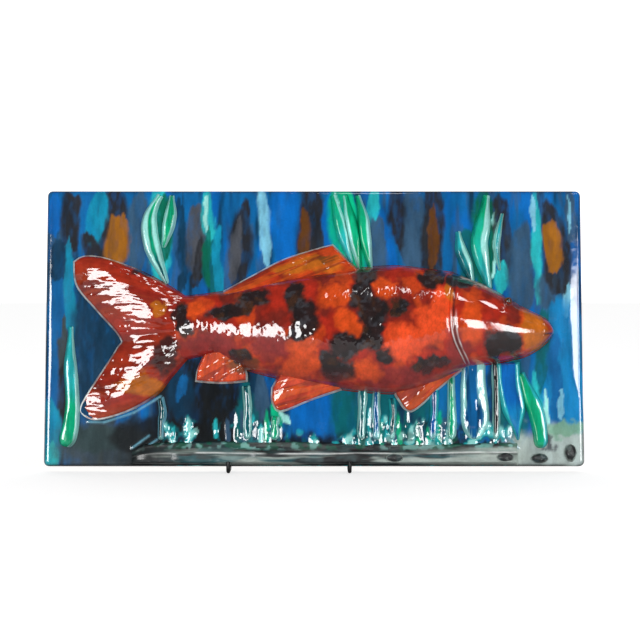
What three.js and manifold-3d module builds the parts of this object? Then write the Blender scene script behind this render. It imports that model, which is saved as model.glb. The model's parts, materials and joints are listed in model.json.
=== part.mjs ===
// A glazed ceramic koi plaque standing on a folding wire easel.
// Millimetres, +Z up. The plaque faces -Y and leans back.
// The origin is on the table, under the middle of the whole.
// The slab and its relief are luted clay pieces: each lies on the slab's face with a slip seam between them.
import * as THREE from "three";
import { mergeVertices } from "three/addons/utils/BufferGeometryUtils.js";
import Module from "manifold-3d";

const wasm = await Module();
wasm.setup();

// Slab
const TILE_WIDTH = 305;
const TILE_HEIGHT = 157;
const TILE_THICKNESS = 9;
const TILE_EDGE_ROUNDING = 2.5;
const TILE_CORNER_RADIUS = 3;

// Relief, as heights above the slab's face
const SLIP_SEAM = 0.3;
const FISH_HEIGHT = 19;
const GILL_COVER_STEP = 1.2;
const PEDUNCLE_HEIGHT = 9;
const SNOUT_HEIGHT = 7;
const FIN_ROOT_HEIGHT = 6.5;
const FIN_EDGE_HEIGHT = 3;
const FIN_RAY_DEPTH = 0.5;
const RIM_HEIGHT = 1.6;
const FROND_HEIGHT = 3.2;
const REED_HEIGHT = 3.6;
const BED_DEPTH = 5;
const STONE_HEIGHT = 3;
const EYE_RADIUS = 2.3;

// Easel
const LEAN_DEGREES = 7;
const WIRE_DIAMETER = 2.2;
const PRONG_SPACING = 68;
const EASEL_OFFSET = -14;
const WIRE_BEND_RADIUS = 2.6;
const LIP_HEIGHT = 6.8;
const FRAME_STRAIGHT = 96;
const BRACE_HEIGHT = 16;
const HINGE_HEIGHT = 82;
const HINGE_SETBACK = 10;
const LEG_DEGREES = 28;
const LEG_SPACING = 48;
const LEG_BEND_RADIUS = 6;
const LEG_TAIL = 13;
const EYE_SLEEVE_LENGTH = 5;
const EYE_SLEEVE_WALL = 1.3;
const EAR_THICKNESS = 1.6;
const EAR_WIDTH = 7;
const PIN_HEAD_RADIUS = 2.2;
const PIN_HEAD_LENGTH = 1.2;
const CLEARANCE = 0.3;

const WIRE_SIDES = 8;
const WIRE_RADIUS = WIRE_DIAMETER / 2;
const WIRE_REACH = WIRE_RADIUS / Math.cos(Math.PI / WIRE_SIDES);
const LEAN = THREE.MathUtils.degToRad(LEAN_DEGREES);
const LEG_ANGLE = THREE.MathUtils.degToRad(LEG_DEGREES);
const FACE = TILE_THICKNESS + SLIP_SEAM;

const GLAZE = {
  water: { color: 0x0b4f9c, roughness: 0.12 },
  fish: { color: 0xd23a1c, roughness: 0.1 },
  fin: { color: 0xb8301c, roughness: 0.12 },
  eye: { color: 0x1a1210, roughness: 0.08 },
  weed: { color: 0x1f9c7a, roughness: 0.12 },
  bed: { color: 0x3c4442, roughness: 0.18 },
  stone: { color: 0x8f9488, roughness: 0.2 },
};
const BLACK_WIRE = { color: 0x161616, roughness: 0.4, metalness: 0.6 };

// Shapes

// Places on the slab's face are percentages: of its width from the middle, and of its height from the bottom.
function onTile([across, up]) {
  return new THREE.Vector2((across / 100) * TILE_WIDTH, (up / 100) * TILE_HEIGHT);
}

function curve(...places) {
  const points = places.map(onTile);
  return points.length > 2 ? new THREE.SplineCurve(points) : new THREE.LineCurve(...points);
}

// A patch of the slab's face between four edges that meet at their ends.
function coonsPatch({ lower, upper, start, end }) {
  const corners = [lower.getPoint(0), lower.getPoint(1), upper.getPoint(0), upper.getPoint(1)];
  return (s, t) => {
    const across = lower.getPointAt(s).multiplyScalar(1 - t).addScaledVector(upper.getPointAt(s), t);
    const along = start.getPointAt(t).multiplyScalar(1 - s).addScaledVector(end.getPointAt(t), s);
    const weights = [(1 - s) * (1 - t), s * (1 - t), (1 - s) * t, s * t];
    const both = across.add(along);
    corners.forEach((corner, i) => both.addScaledVector(corner, -weights[i]));
    return both;
  };
}

// A strip of the slab's face along a middle line, halfWidth(s) to each side.
function ribbonPatch(middle, halfWidth) {
  return (s, t) => {
    const tangent = middle.getTangentAt(s);
    const side = new THREE.Vector2(-tangent.y, tangent.x);
    return middle.getPointAt(s).addScaledVector(side, halfWidth(s) * (2 * t - 1));
  };
}

// The patch's edge as a closed loop of places, from one corner round all four sides.
function outline(patch, columns, rows) {
  const loop = [];
  for (let i = 0; i < columns; i++) loop.push(patch(i / columns, 0));
  for (let j = 0; j < rows; j++) loop.push(patch(1, j / rows));
  for (let i = columns; i > 0; i--) loop.push(patch(i / columns, 1));
  for (let j = rows; j > 0; j--) loop.push(patch(0, j / rows));
  return loop;
}

// A closed relief on the slab's face: a patch raised by height(s, t), with upright sides and a flat back.
function relief({ patch, height, columns, rows }) {
  const places = [];
  const positions = [];
  const addVertex = (place, above) => {
    positions.push(place.x, -(FACE + above), place.y);
    return positions.length / 3 - 1;
  };
  for (let i = 0; i <= columns; i++) {
    for (let j = 0; j <= rows; j++) {
      places.push(patch(i / columns, j / rows));
      addVertex(places.at(-1), height(i / columns, j / rows));
    }
  }
  const at = (i, j) => i * (rows + 1) + j;
  const rim = [];
  for (let i = 0; i < columns; i++) rim.push(at(i, 0));
  for (let j = 0; j < rows; j++) rim.push(at(columns, j));
  for (let i = columns; i > 0; i--) rim.push(at(i, rows));
  for (let j = rows; j > 0; j--) rim.push(at(0, j));
  const loop = rim.map((index) => places[index]);
  const back = loop.map((place) => addVertex(place, 0));

  const index = [];
  const clockwise = THREE.ShapeUtils.isClockWise(loop);
  const addFront = (a, b, c) => (clockwise ? index.push(a, c, b) : index.push(a, b, c));
  for (let i = 0; i < columns; i++) {
    for (let j = 0; j < rows; j++) {
      addFront(at(i, j), at(i + 1, j), at(i + 1, j + 1));
      addFront(at(i, j), at(i + 1, j + 1), at(i, j + 1));
    }
  }
  rim.forEach((front, k) => {
    const next = (k + 1) % rim.length;
    addFront(front, back[k], back[next]);
    addFront(front, back[next], rim[next]);
  });
  for (const [a, b, c] of THREE.ShapeUtils.triangulateShape(loop, [])) index.push(back[a], back[c], back[b]);
  const geometry = new THREE.BufferGeometry();
  geometry.setAttribute("position", new THREE.Float32BufferAttribute(positions, 3));
  return geometry.setIndex(index);
}

// A prism over a relief's outline, a seam wider all round, to cut its neighbours back.
function cutter(loop) {
  const sign = THREE.ShapeUtils.isClockWise(loop) ? -1 : 1;
  const wider = loop.map((place, k) => {
    const before = loop[(k + loop.length - 1) % loop.length];
    const after = loop[(k + 1) % loop.length];
    const along = after.clone().sub(before).normalize();
    return place.clone().add(new THREE.Vector2(along.y, -along.x).multiplyScalar(sign * SLIP_SEAM));
  });
  const depth = 2 * (FACE + FISH_HEIGHT);
  const prism = new THREE.ExtrudeGeometry(new THREE.Shape(wider), { depth, bevelEnabled: false, steps: 1 });
  return prism.rotateX(Math.PI / 2).translate(0, depth / 2, 0);
}

function solid(geometry) {
  const bare = geometry.clone();
  for (const name of Object.keys(bare.attributes)) if (name !== "position") bare.deleteAttribute(name);
  const merged = mergeVertices(bare, 1e-4);
  return new wasm.Manifold(
    new wasm.Mesh({
      numProp: 3,
      vertProperties: new Float32Array(merged.attributes.position.array),
      triVerts: new Uint32Array(merged.index.array),
    }),
  );
}

function geometryOf(body) {
  const { vertProperties, triVerts } = body.getMesh();
  const geometry = new THREE.BufferGeometry();
  geometry.setAttribute("position", new THREE.Float32BufferAttribute(vertProperties, 3));
  return geometry.setIndex(Array.from(triVerts));
}

// What is left of a piece beside its neighbours: the largest body after the cuts.
function cut(geometry, ...cutters) {
  const left = cutters.reduce((body, tool) => body.subtract(solid(tool)), solid(geometry));
  const bodies = left.decompose().sort((a, b) => b.volume() - a.volume());
  return geometryOf(bodies[0]);
}

function piece(name, geometry, look) {
  const drawn = geometry.index ? geometry.toNonIndexed() : geometry;
  drawn.computeVertexNormals();
  const mesh = new THREE.Mesh(drawn, new THREE.MeshStandardMaterial(look));
  mesh.name = name;
  return mesh;
}

// Wire

// Straight runs between corners, each corner bent to an arc.
function bentPath(corners, radius, steps) {
  const path = [corners[0]];
  for (let k = 1; k < corners.length - 1; k++) {
    const into = corners[k].clone().sub(corners[k - 1]).normalize();
    const out = corners[k + 1].clone().sub(corners[k]).normalize();
    const turn = into.angleTo(out);
    const trim = radius * Math.tan(turn / 2);
    const begin = corners[k].clone().addScaledVector(into, -trim);
    const inward = out.clone().addScaledVector(into, -into.dot(out)).normalize();
    const centre = begin.clone().addScaledVector(inward, radius);
    for (let i = 0; i <= steps; i++) {
      const angle = (turn * i) / steps;
      const spoke = inward.clone().multiplyScalar(-Math.cos(angle)).addScaledVector(into, Math.sin(angle));
      path.push(centre.clone().addScaledVector(spoke, radius));
    }
  }
  return [...path, corners.at(-1)];
}

// A round wire along a path, with closed ends. One of its facets faces the way of facet at the start.
function wire(path, facet) {
  const positions = [];
  const index = [];
  const normal = facet.clone();
  const turn = new THREE.Quaternion();
  let before = path[1].clone().sub(path[0]).normalize();
  path.forEach((point, k) => {
    const into = point.clone().sub(path[Math.max(k - 1, 0)]).normalize();
    const out = path[Math.min(k + 1, path.length - 1)].clone().sub(point).normalize();
    const tangent = into.add(out).normalize();
    normal.applyQuaternion(turn.setFromUnitVectors(before, tangent));
    before = tangent;
    const side = tangent.clone().cross(normal);
    for (let i = 0; i < WIRE_SIDES; i++) {
      const angle = ((i + 0.5) * 2 * Math.PI) / WIRE_SIDES;
      const vertex = point.clone();
      vertex.addScaledVector(normal, WIRE_REACH * Math.cos(angle));
      vertex.addScaledVector(side, WIRE_REACH * Math.sin(angle));
      positions.push(...vertex.toArray());
    }
  });
  const at = (k, i) => k * WIRE_SIDES + (i % WIRE_SIDES);
  for (let k = 0; k < path.length - 1; k++) {
    for (let i = 0; i < WIRE_SIDES; i++) {
      index.push(at(k, i), at(k, i + 1), at(k + 1, i + 1), at(k, i), at(k + 1, i + 1), at(k + 1, i));
    }
  }
  for (let i = 1; i < WIRE_SIDES - 1; i++) {
    index.push(at(0, 0), at(0, i + 1), at(0, i));
    index.push(at(path.length - 1, 0), at(path.length - 1, i), at(path.length - 1, i + 1));
  }
  const geometry = new THREE.BufferGeometry();
  geometry.setAttribute("position", new THREE.Float32BufferAttribute(positions, 3));
  return geometry.setIndex(index);
}

// Relief heights

const dome = (t) => Math.sqrt(Math.max(0, 1 - (2 * t - 1) ** 2));
const ease = (x) => THREE.MathUtils.smoothstep(x, 0, 1);
const mix = THREE.MathUtils.lerp;

// The round end of a form: 0 at its edge, 1 from reach onwards.
function roundEnd(distance, reach) {
  const x = Math.min(1, distance / reach);
  return Math.sqrt(x * (2 - x));
}

function finHeight(fromRoot, acrossRays, rays) {
  const ray = FIN_RAY_DEPTH * (0.5 + 0.5 * Math.cos(2 * Math.PI * rays * acrossRays));
  return mix(FIN_ROOT_HEIGHT, FIN_EDGE_HEIGHT, fromRoot) - ray;
}

// Slab

function backingTile() {
  const half = TILE_WIDTH / 2 - TILE_EDGE_ROUNDING;
  const low = TILE_EDGE_ROUNDING;
  const high = TILE_HEIGHT - TILE_EDGE_ROUNDING;
  const corner = TILE_CORNER_RADIUS - TILE_EDGE_ROUNDING;
  const shape = new THREE.Shape()
    .moveTo(corner - half, low)
    .lineTo(half - corner, low)
    .absarc(half - corner, low + corner, corner, -Math.PI / 2, 0)
    .lineTo(half, high - corner)
    .absarc(half - corner, high - corner, corner, 0, Math.PI / 2)
    .lineTo(corner - half, high)
    .absarc(corner - half, high - corner, corner, Math.PI / 2, Math.PI)
    .lineTo(-half, low + corner)
    .absarc(corner - half, low + corner, corner, Math.PI, 1.5 * Math.PI);
  const geometry = new THREE.ExtrudeGeometry(shape, {
    depth: TILE_THICKNESS - 2 * TILE_EDGE_ROUNDING,
    bevelSize: TILE_EDGE_ROUNDING,
    bevelThickness: TILE_EDGE_ROUNDING,
    bevelSegments: 4,
    curveSegments: 4,
  });
  return geometry.translate(0, 0, TILE_EDGE_ROUNDING).rotateX(Math.PI / 2);
}

// Fish

const body = {
  columns: 30,
  rows: 12,
  patch: coonsPatch({
    lower: curve(
      [-24.9, 37.8], [-19.1, 39.6], [-12.5, 34.5], [0, 28.9], [14.5, 26], [21.7, 29.1], [27.7, 35.6],
    ),
    upper: curve([-24.9, 61.1], [-17.1, 62.9], [-2.6, 68.7], [13.2, 72.2], [20.6, 71.1], [25.3, 69.8]),
    start: curve([-24.9, 37.8], [-26.2, 49.5], [-24.9, 61.1]),
    end: curve([27.7, 35.6], [25.1, 44.7], [24.5, 54.5], [25.3, 69.8]),
  }),
  height(s, t) {
    const crest = mix(PEDUNCLE_HEIGHT, FISH_HEIGHT, ease(s / 0.6));
    return RIM_HEIGHT + (crest - RIM_HEIGHT) * dome(t) * roundEnd(s, 0.08);
  },
};

const head = {
  columns: 16,
  rows: 12,
  patch: coonsPatch({
    lower: curve([27.9, 35.6], [32.7, 36.7], [38.3, 38.9], [41.4, 41.8], [43.3, 44.7]),
    upper: curve([25.5, 69.8], [31.8, 65.1], [38.3, 57.6], [42.6, 53.5], [43.7, 51.6]),
    start: curve([27.9, 35.6], [25.3, 44.7], [24.7, 54.5], [25.5, 69.8]),
    end: curve([43.3, 44.7], [44.4, 48.4], [43.7, 51.6]),
  }),
  height(s, t) {
    const crest = mix(FISH_HEIGHT + GILL_COVER_STEP, SNOUT_HEIGHT, s ** 1.6);
    return RIM_HEIGHT + (crest - RIM_HEIGHT) * dome(t) * roundEnd(1 - s, 0.12);
  },
};

const tail = {
  columns: 12,
  rows: 24,
  patch: coonsPatch({
    lower: curve([-23.4, 38.9], [-26.4, 32], [-29.2, 25.5], [-34.6, 19.6], [-40.1, 16.7], [-42.6, 18.2]),
    upper: curve([-23.4, 60.4], [-27.5, 65.6], [-32.9, 70.9], [-39, 75.1], [-42.8, 75.8], [-44.8, 73.8]),
    start: curve([-23.4, 38.9], [-23.4, 60.4]),
    end: curve(
      [-42.6, 18.2], [-42.8, 22.9], [-36.8, 41.5], [-36, 46.2], [-40.7, 56.7], [-44.2, 65.1], [-44.8, 73.8],
    ),
  }),
  height: (s, t) => finHeight(s, t, 12),
};

const dorsal = {
  columns: 14,
  rows: 6,
  patch: coonsPatch({
    lower: curve([-17.4, 60.5], [-2.6, 66], [8.9, 69]),
    upper: curve([-17.4, 62.4], [-11.7, 68.4], [-6.1, 74.2], [-0.7, 77.8], [3.5, 80]),
    start: curve([-17.4, 60.5], [-17.4, 62.4]),
    end: curve([8.9, 69], [7.8, 71.6], [6.1, 74.7], [3.5, 80]),
  }),
  height: (s, t) => finHeight(t, s, 7),
};

const pectoral = {
  columns: 14,
  rows: 6,
  patch: coonsPatch({
    lower: curve([14.9, 27.3], [15.4, 24.4], [18, 19.6], [23.4, 28.2], [28.3, 36]),
    upper: curve([16, 30.2], [21.6, 33.8], [27.5, 38.2]),
    start: curve([14.9, 27.3], [16, 30.2]),
    end: curve([28.3, 36], [27.5, 38.2]),
  }),
  height: (s, t) => finHeight(1 - t, s, 7),
};

const pelvic = {
  columns: 14,
  rows: 6,
  patch: coonsPatch({
    lower: curve([-7.8, 28], [-7.8, 23.6], [-6.9, 20], [-5.2, 20], [-0.4, 23.8], [5.6, 27.8]),
    upper: curve([-6.3, 33.1], [-0.7, 31.6], [5.6, 30.2]),
    start: curve([-7.8, 28], [-6.3, 33.1]),
    end: curve([5.6, 27.8], [5.6, 30.2]),
  }),
  height: (s, t) => finHeight(1 - t, s, 7),
};

const anal = {
  columns: 12,
  rows: 6,
  patch: coonsPatch({
    lower: curve([-21.9, 30.4], [-17.5, 29.6], [-13, 30.5]),
    upper: curve([-20.3, 40.4], [-16.5, 41], [-13.2, 37]),
    start: curve([-21.9, 30.4], [-21.4, 34.5], [-20.3, 40.4]),
    end: curve([-13, 30.5], [-13.2, 37]),
  }),
  height: (s, t) => finHeight(1 - t, s, 6),
};

const outlineOf = ({ patch, columns, rows }) => outline(patch, columns, rows);
const aroundBody = cutter(outlineOf(body));
const aroundHead = cutter(outlineOf(head));

// The eye is a flattened bead on the head's dome, a seam clear of it.
function fishEye() {
  const place = onTile([35.9, 59]);
  const bead = new THREE.SphereGeometry(EYE_RADIUS, 16, 12);
  bead.translate(place.x, -(FACE + FISH_HEIGHT / 2), place.y);
  const headSolid = relief(head).translate(0, -SLIP_SEAM, 0);
  return cut(bead, headSolid);
}

function fish() {
  return [
    piece("fish_body", relief(body), GLAZE.fish),
    piece("fish_head", cut(relief(head), aroundBody), GLAZE.fish),
    piece("fish_eye", fishEye(), GLAZE.eye),
    piece("tail_fin", cut(relief(tail), aroundBody), GLAZE.fin),
    piece("dorsal_fin", cut(relief(dorsal), aroundBody), GLAZE.fin),
    piece("pectoral_fin", cut(relief(pectoral), aroundBody, aroundHead), GLAZE.fin),
    piece("pelvic_fin", cut(relief(pelvic), aroundBody), GLAZE.fin),
    piece("anal_fin", cut(relief(anal), aroundBody), GLAZE.fin),
  ];
}

// Weed

const aroundTail = cutter(outlineOf(tail));
const aroundDorsal = cutter(outlineOf(dorsal));

// A blade of weed: narrow at both ends, widest at its middle, domed across.
function blade(middle, halfWidth, tipWidth = 0.35) {
  const width = (s) => halfWidth * mix(tipWidth, 1, Math.sin(Math.PI * s) ** 0.6);
  const rim = RIM_HEIGHT / 2;
  const height = (s, t) => rim + (FROND_HEIGHT - rim) * dome(t) * mix(0.5, 1, width(s) / halfWidth);
  return relief({ patch: ribbonPatch(middle, width), height, columns: 12, rows: 4 });
}

function weed() {
  const aroundFish = [aroundBody, aroundHead, aroundTail, aroundDorsal];
  const blades = {
    frond_left_front: blade(
      curve([-28.8, 98], [-30.4, 92], [-30.8, 87], [-30.4, 81], [-29.4, 75], [-27.4, 66]), 2.6),
    frond_left_back: blade(curve([-26.6, 98], [-26.8, 91.3], [-27.4, 84.7], [-28.1, 79.3]), 2.4),
    frond_centre_1: blade(curve([3.5, 98], [4.3, 92], [5.4, 83.3], [6.9, 73.8]), 2.6),
    frond_centre_2: blade(curve([5.9, 98], [6.6, 91.3], [7.5, 82.5], [8.6, 71]), 2.6),
    frond_centre_3: blade(curve([8.2, 98], [9.1, 90.5], [9.6, 81.8], [10.6, 71]), 2.4),
    frond_right_tall: blade(curve([32.3, 98], [31.6, 88.4], [30.9, 80.7], [31.4, 73.8], [32.7, 64]), 4),
    frond_right_leaf: blade(curve([26.9, 84.7], [27.4, 78.2], [28.4, 73.1], [29.6, 65]), 2.4),
    frond_right_thin: blade(curve([35.2, 91.3], [34.4, 84.4], [34.1, 78.2], [34.6, 70.9]), 1.5),
    leaf_low_right: blade(curve([38.3, 33], [39.6, 26.5], [41.1, 19.3], [41.8, 12], [41.9, 6.8]), 4),
    leaf_blue: blade(curve([36.1, 30.2], [36.9, 21.8], [37.4, 14.5], [37.7, 9.6]), 5.6),
    leaf_low_left: blade(
      curve([-45.2, 45.1], [-45.2, 36.7], [-44.9, 29.1], [-44.7, 21.8], [-45, 14.2], [-45.9, 7.3]), 2.8),
  };
  return Object.entries(blades).map(([name, form]) => piece(name, cut(form, ...aroundFish), GLAZE.weed));
}

// Short upright stems: place across, bottom, top and half width in millimetres.
const STEMS = [
  [-28.1, 9.6, 24.4, 1.8],
  [-12.3, 9.6, 26.5, 2.4],
  [-7.2, 9.6, 17.5, 2.4],
  [8.9, 9.6, 25, 2.4],
  [11.7, 9.6, 24, 2.2],
  [14.4, 9.6, 21, 1.8],
  [22.1, 9.6, 24, 2.2],
  [25.5, 9.6, 29.5, 2.4],
  [29.6, 9.6, 33.5, 7.4],
  [33.6, 9.6, 34.5, 1.8],
];

function reeds() {
  return STEMS.map(([across, bottom, top, halfWidth], k) => {
    const patch = ribbonPatch(curve([across, bottom], [across, top]), (s) => halfWidth * mix(1, 0.75, s ** 2));
    const rim = RIM_HEIGHT / 2;
    const height = (s, t) => rim + (REED_HEIGHT - rim) * dome(t) * roundEnd(1 - s, 0.15);
    const form = relief({ patch, height, columns: 8, rows: 6 });
    return piece(`reed_${k + 1}`, cut(form, aroundBody, aroundHead), GLAZE.weed);
  });
}

// River bed

// A ledge with an upright front lip, hollowed above it.
function riverBed() {
  const patch = coonsPatch({
    lower: curve([-33.6, 0.8], [37.6, 0.8]),
    upper: curve([-33.6, 5.5], [-28, 8.2], [-5, 8.4], [15, 7.6], [37.6, 8.2]),
    start: curve([-33.6, 0.8], [-33.6, 5.5]),
    end: curve([37.6, 0.8], [37.6, 8.2]),
  });
  const lipShare = 0.55;
  const height = (s, t) => {
    const profile = t < lipShare ? 1 : 1 - roundEnd(t - lipShare, 1 - lipShare);
    return mix(RIM_HEIGHT, BED_DEPTH, profile * roundEnd(s, 0.05));
  };
  return piece("river_bed", relief({ patch, height, columns: 28, rows: 10 }), GLAZE.bed);
}

// Pebbles: place across and up, half sizes across and up in millimetres, and the depth of what they lie on.
const STONES = [
  [47.3, 4.8, 3.6, 5.4, 0],
  [41.6, 2.8, 5.2, 2.9, 0],
  [35.2, 3.2, 5.2, 2.6, BED_DEPTH + SLIP_SEAM],
  [14.8, 2.9, 5, 2.4, BED_DEPTH + SLIP_SEAM],
];

function stones() {
  const quarter = [0, 1, 2, 3, 4].map((k) => (k * Math.PI) / 8);
  const arc = quarter.map((angle) => new THREE.Vector2(Math.cos(angle), Math.sin(angle)));
  const profile = [new THREE.Vector2(0, 0), ...arc];
  return STONES.map(([across, up, halfWidth, halfHeight, under], k) => {
    const place = onTile([across, up]);
    const pebble = new THREE.LatheGeometry(profile, 16).rotateX(Math.PI);
    const height = under ? STONE_HEIGHT / 2 : STONE_HEIGHT;
    pebble.scale(halfWidth, height, halfHeight).translate(place.x, -(FACE + under), place.y);
    return piece(`stone_${k + 1}`, geometryOf(solid(pebble)), GLAZE.stone);
  });
}

// Easel

// Places on it are measured up the lean from the slab's bottom edge, and backwards from the slab's back.

const REST_HEIGHT = WIRE_DIAMETER + CLEARANCE;
const FRAME_BACK = WIRE_RADIUS + CLEARANCE;
const ROD_BACK = FRAME_BACK + WIRE_DIAMETER + CLEARANCE;
const LIP_FRONT = -(FACE + BED_DEPTH) * Math.cos(LEAN) - CLEARANCE - WIRE_RADIUS;

function onFrame(across, up, back) {
  const y = up * Math.sin(LEAN) + back * Math.cos(LEAN);
  const z = REST_HEIGHT + up * Math.cos(LEAN) - back * Math.sin(LEAN);
  return new THREE.Vector3(across, y, z);
}

function easelFrame() {
  const half = PRONG_SPACING / 2;
  const heel = (WIRE_RADIUS - REST_HEIGHT + FRAME_BACK * Math.sin(LEAN)) / Math.cos(LEAN);
  const heelBack = onFrame(0, heel, FRAME_BACK).y;
  const side = (across) => [
    new THREE.Vector3(across, LIP_FRONT, LIP_HEIGHT),
    new THREE.Vector3(across, LIP_FRONT, WIRE_RADIUS),
    new THREE.Vector3(across, heelBack, WIRE_RADIUS),
    onFrame(across, FRAME_STRAIGHT, FRAME_BACK),
  ];
  const arch = [];
  const archSteps = 12;
  for (let k = 1; k < archSteps; k++) {
    const angle = Math.PI * (1 - k / archSteps);
    arch.push(onFrame(half * Math.cos(angle), FRAME_STRAIGHT + half * Math.sin(angle), FRAME_BACK));
  }
  const left = bentPath(side(-half), WIRE_BEND_RADIUS, 4);
  const right = bentPath(side(half), WIRE_BEND_RADIUS, 4).reverse();
  return piece("easel_frame", wire([...left, ...arch, ...right], new THREE.Vector3(0, -1, 0)), BLACK_WIRE);
}

function crossRod(name, up) {
  const reach = PRONG_SPACING / 2 + WIRE_RADIUS;
  const rod = new THREE.CylinderGeometry(WIRE_RADIUS, WIRE_RADIUS, 2 * reach, 12).rotateZ(Math.PI / 2);
  return piece(name, rod.translate(...onFrame(0, up, ROD_BACK).toArray()), BLACK_WIRE);
}

// A plate beside each side wire, with the hinge pin's hole at its back end.
const EAR_INSIDE = PRONG_SPACING / 2 - WIRE_RADIUS - CLEARANCE - EAR_THICKNESS;
const HOLE_RADIUS = WIRE_RADIUS + CLEARANCE;

function hingeEar(name, side) {
  const front = FRAME_BACK - WIRE_RADIUS;
  const shape = new THREE.Shape()
    .moveTo(front, -EAR_WIDTH / 2)
    .lineTo(HINGE_SETBACK, -EAR_WIDTH / 2)
    .absarc(HINGE_SETBACK, 0, EAR_WIDTH / 2, -Math.PI / 2, Math.PI / 2)
    .lineTo(front, EAR_WIDTH / 2)
    .lineTo(front, -EAR_WIDTH / 2);
  shape.holes.push(new THREE.Path().absarc(HINGE_SETBACK, 0, HOLE_RADIUS, 0, 2 * Math.PI, true));
  const flat = { depth: EAR_THICKNESS, bevelEnabled: false, curveSegments: 12 };
  const plate = new THREE.ExtrudeGeometry(shape, flat);
  const middle = side * (EAR_INSIDE + EAR_THICKNESS / 2);
  plate.translate(0, 0, -EAR_THICKNESS / 2).rotateX(Math.PI / 2).rotateZ(Math.PI / 2).rotateX(-LEAN);
  return piece(name, plate.translate(...onFrame(middle, HINGE_HEIGHT, 0).toArray()), BLACK_WIRE);
}

// A pin through both ears, with a head outside each.
function hingePin() {
  const outside = EAR_INSIDE + EAR_THICKNESS + CLEARANCE;
  const end = outside + PIN_HEAD_LENGTH;
  const profile = [
    [0, -end],
    [PIN_HEAD_RADIUS, -end],
    [PIN_HEAD_RADIUS, -outside],
    [WIRE_RADIUS, -outside],
    [WIRE_RADIUS, outside],
    [PIN_HEAD_RADIUS, outside],
    [PIN_HEAD_RADIUS, end],
    [0, end],
  ].map(([x, y]) => new THREE.Vector2(x, y));
  const pin = new THREE.LatheGeometry(profile, 12).rotateZ(Math.PI / 2);
  pin.translate(...onFrame(0, HINGE_HEIGHT, HINGE_SETBACK).toArray());
  return piece("hinge_pin", geometryOf(solid(pin)), BLACK_WIRE);
}

// The leg's wire runs behind the hinge pin, so that its tails reach the stop rod above it.
const LEG_BEHIND_PIN = HOLE_RADIUS + WIRE_REACH;

function onLeg(across, below) {
  const pin = onFrame(across, HINGE_HEIGHT, HINGE_SETBACK);
  pin.y += LEG_BEHIND_PIN * Math.cos(LEG_ANGLE) + below * Math.sin(LEG_ANGLE);
  pin.z += LEG_BEHIND_PIN * Math.sin(LEG_ANGLE) - below * Math.cos(LEG_ANGLE);
  return pin;
}

// The way a facet faces at the start of the leg's wire, so that past the bend it lies flat on the table.
function legFacet() {
  const [sine, cosine] = [Math.sin(LEG_ANGLE), Math.cos(LEG_ANGLE)];
  return new THREE.Vector3(-cosine, -sine * cosine, -sine * sine);
}

function rearLeg() {
  const half = LEG_SPACING / 2;
  const foot = (onLeg(0, 0).z - WIRE_RADIUS) / Math.cos(LEG_ANGLE);
  const corners = [onLeg(-half, -LEG_TAIL), onLeg(-half, foot), onLeg(half, foot), onLeg(half, -LEG_TAIL)];
  const loop = solid(wire(bentPath(corners, LEG_BEND_RADIUS, 5), legFacet()));
  const sleeveRadius = HOLE_RADIUS + EYE_SLEEVE_WALL;
  const profile = [
    [HOLE_RADIUS, -EYE_SLEEVE_LENGTH / 2],
    [sleeveRadius, -EYE_SLEEVE_LENGTH / 2],
    [sleeveRadius, EYE_SLEEVE_LENGTH / 2],
    [HOLE_RADIUS, EYE_SLEEVE_LENGTH / 2],
    [HOLE_RADIUS, -EYE_SLEEVE_LENGTH / 2],
  ].map(([x, y]) => new THREE.Vector2(x, y));
  const withEyes = [-half, half].reduce((leg, across) => {
    const eye = new THREE.LatheGeometry(profile, 16).rotateZ(Math.PI / 2);
    eye.translate(...onFrame(across, HINGE_HEIGHT, HINGE_SETBACK).toArray());
    return leg.add(solid(eye));
  }, loop);
  return piece("rear_leg", geometryOf(withEyes), BLACK_WIRE);
}

// The stop rod lies where the leg's tails meet it with the leg fully open.
function stopRodHeight() {
  const opening = LEAN + LEG_ANGLE;
  const gap = LEG_BEHIND_PIN - (WIRE_DIAMETER + CLEARANCE);
  const along = (HINGE_SETBACK + gap * Math.cos(opening) - ROD_BACK) / Math.sin(opening);
  return HINGE_HEIGHT + gap * Math.sin(opening) + along * Math.cos(opening);
}

// Assembly

const plaque = new THREE.Group();
plaque.add(piece("backing_tile", geometryOf(solid(backingTile())), GLAZE.water));
plaque.add(...fish(), ...weed(), ...reeds(), riverBed(), ...stones());
plaque.rotation.x = -LEAN;
plaque.position.z = REST_HEIGHT;

const easel = new THREE.Group();
easel.add(easelFrame(), crossRod("brace_rod", BRACE_HEIGHT), crossRod("stop_rod", stopRodHeight()));
easel.add(hingeEar("hinge_ear_left", -1), hingeEar("hinge_ear_right", 1), hingePin(), rearLeg());
easel.position.x = EASEL_OFFSET;

const assembly = new THREE.Group();
assembly.add(plaque, easel);
const box = new THREE.Box3().setFromObject(assembly, true);
const middle = box.getCenter(new THREE.Vector3());
assembly.position.set(-middle.x, -middle.y, -box.min.z);

export default new THREE.Group().add(assembly);
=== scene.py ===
"""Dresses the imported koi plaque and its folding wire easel.

Lengths are millimetres on the tile or the easel, and turn into the frame's metres in one place each.
The plaque's own directions are across, up its lean, and out of its face. Places on its face are pairs
in percent: of its width from the middle, and of its height from the bottom edge.
"""
import json
import math

import bpy
import numpy as np
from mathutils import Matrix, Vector
from mathutils.kdtree import KDTree


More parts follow.
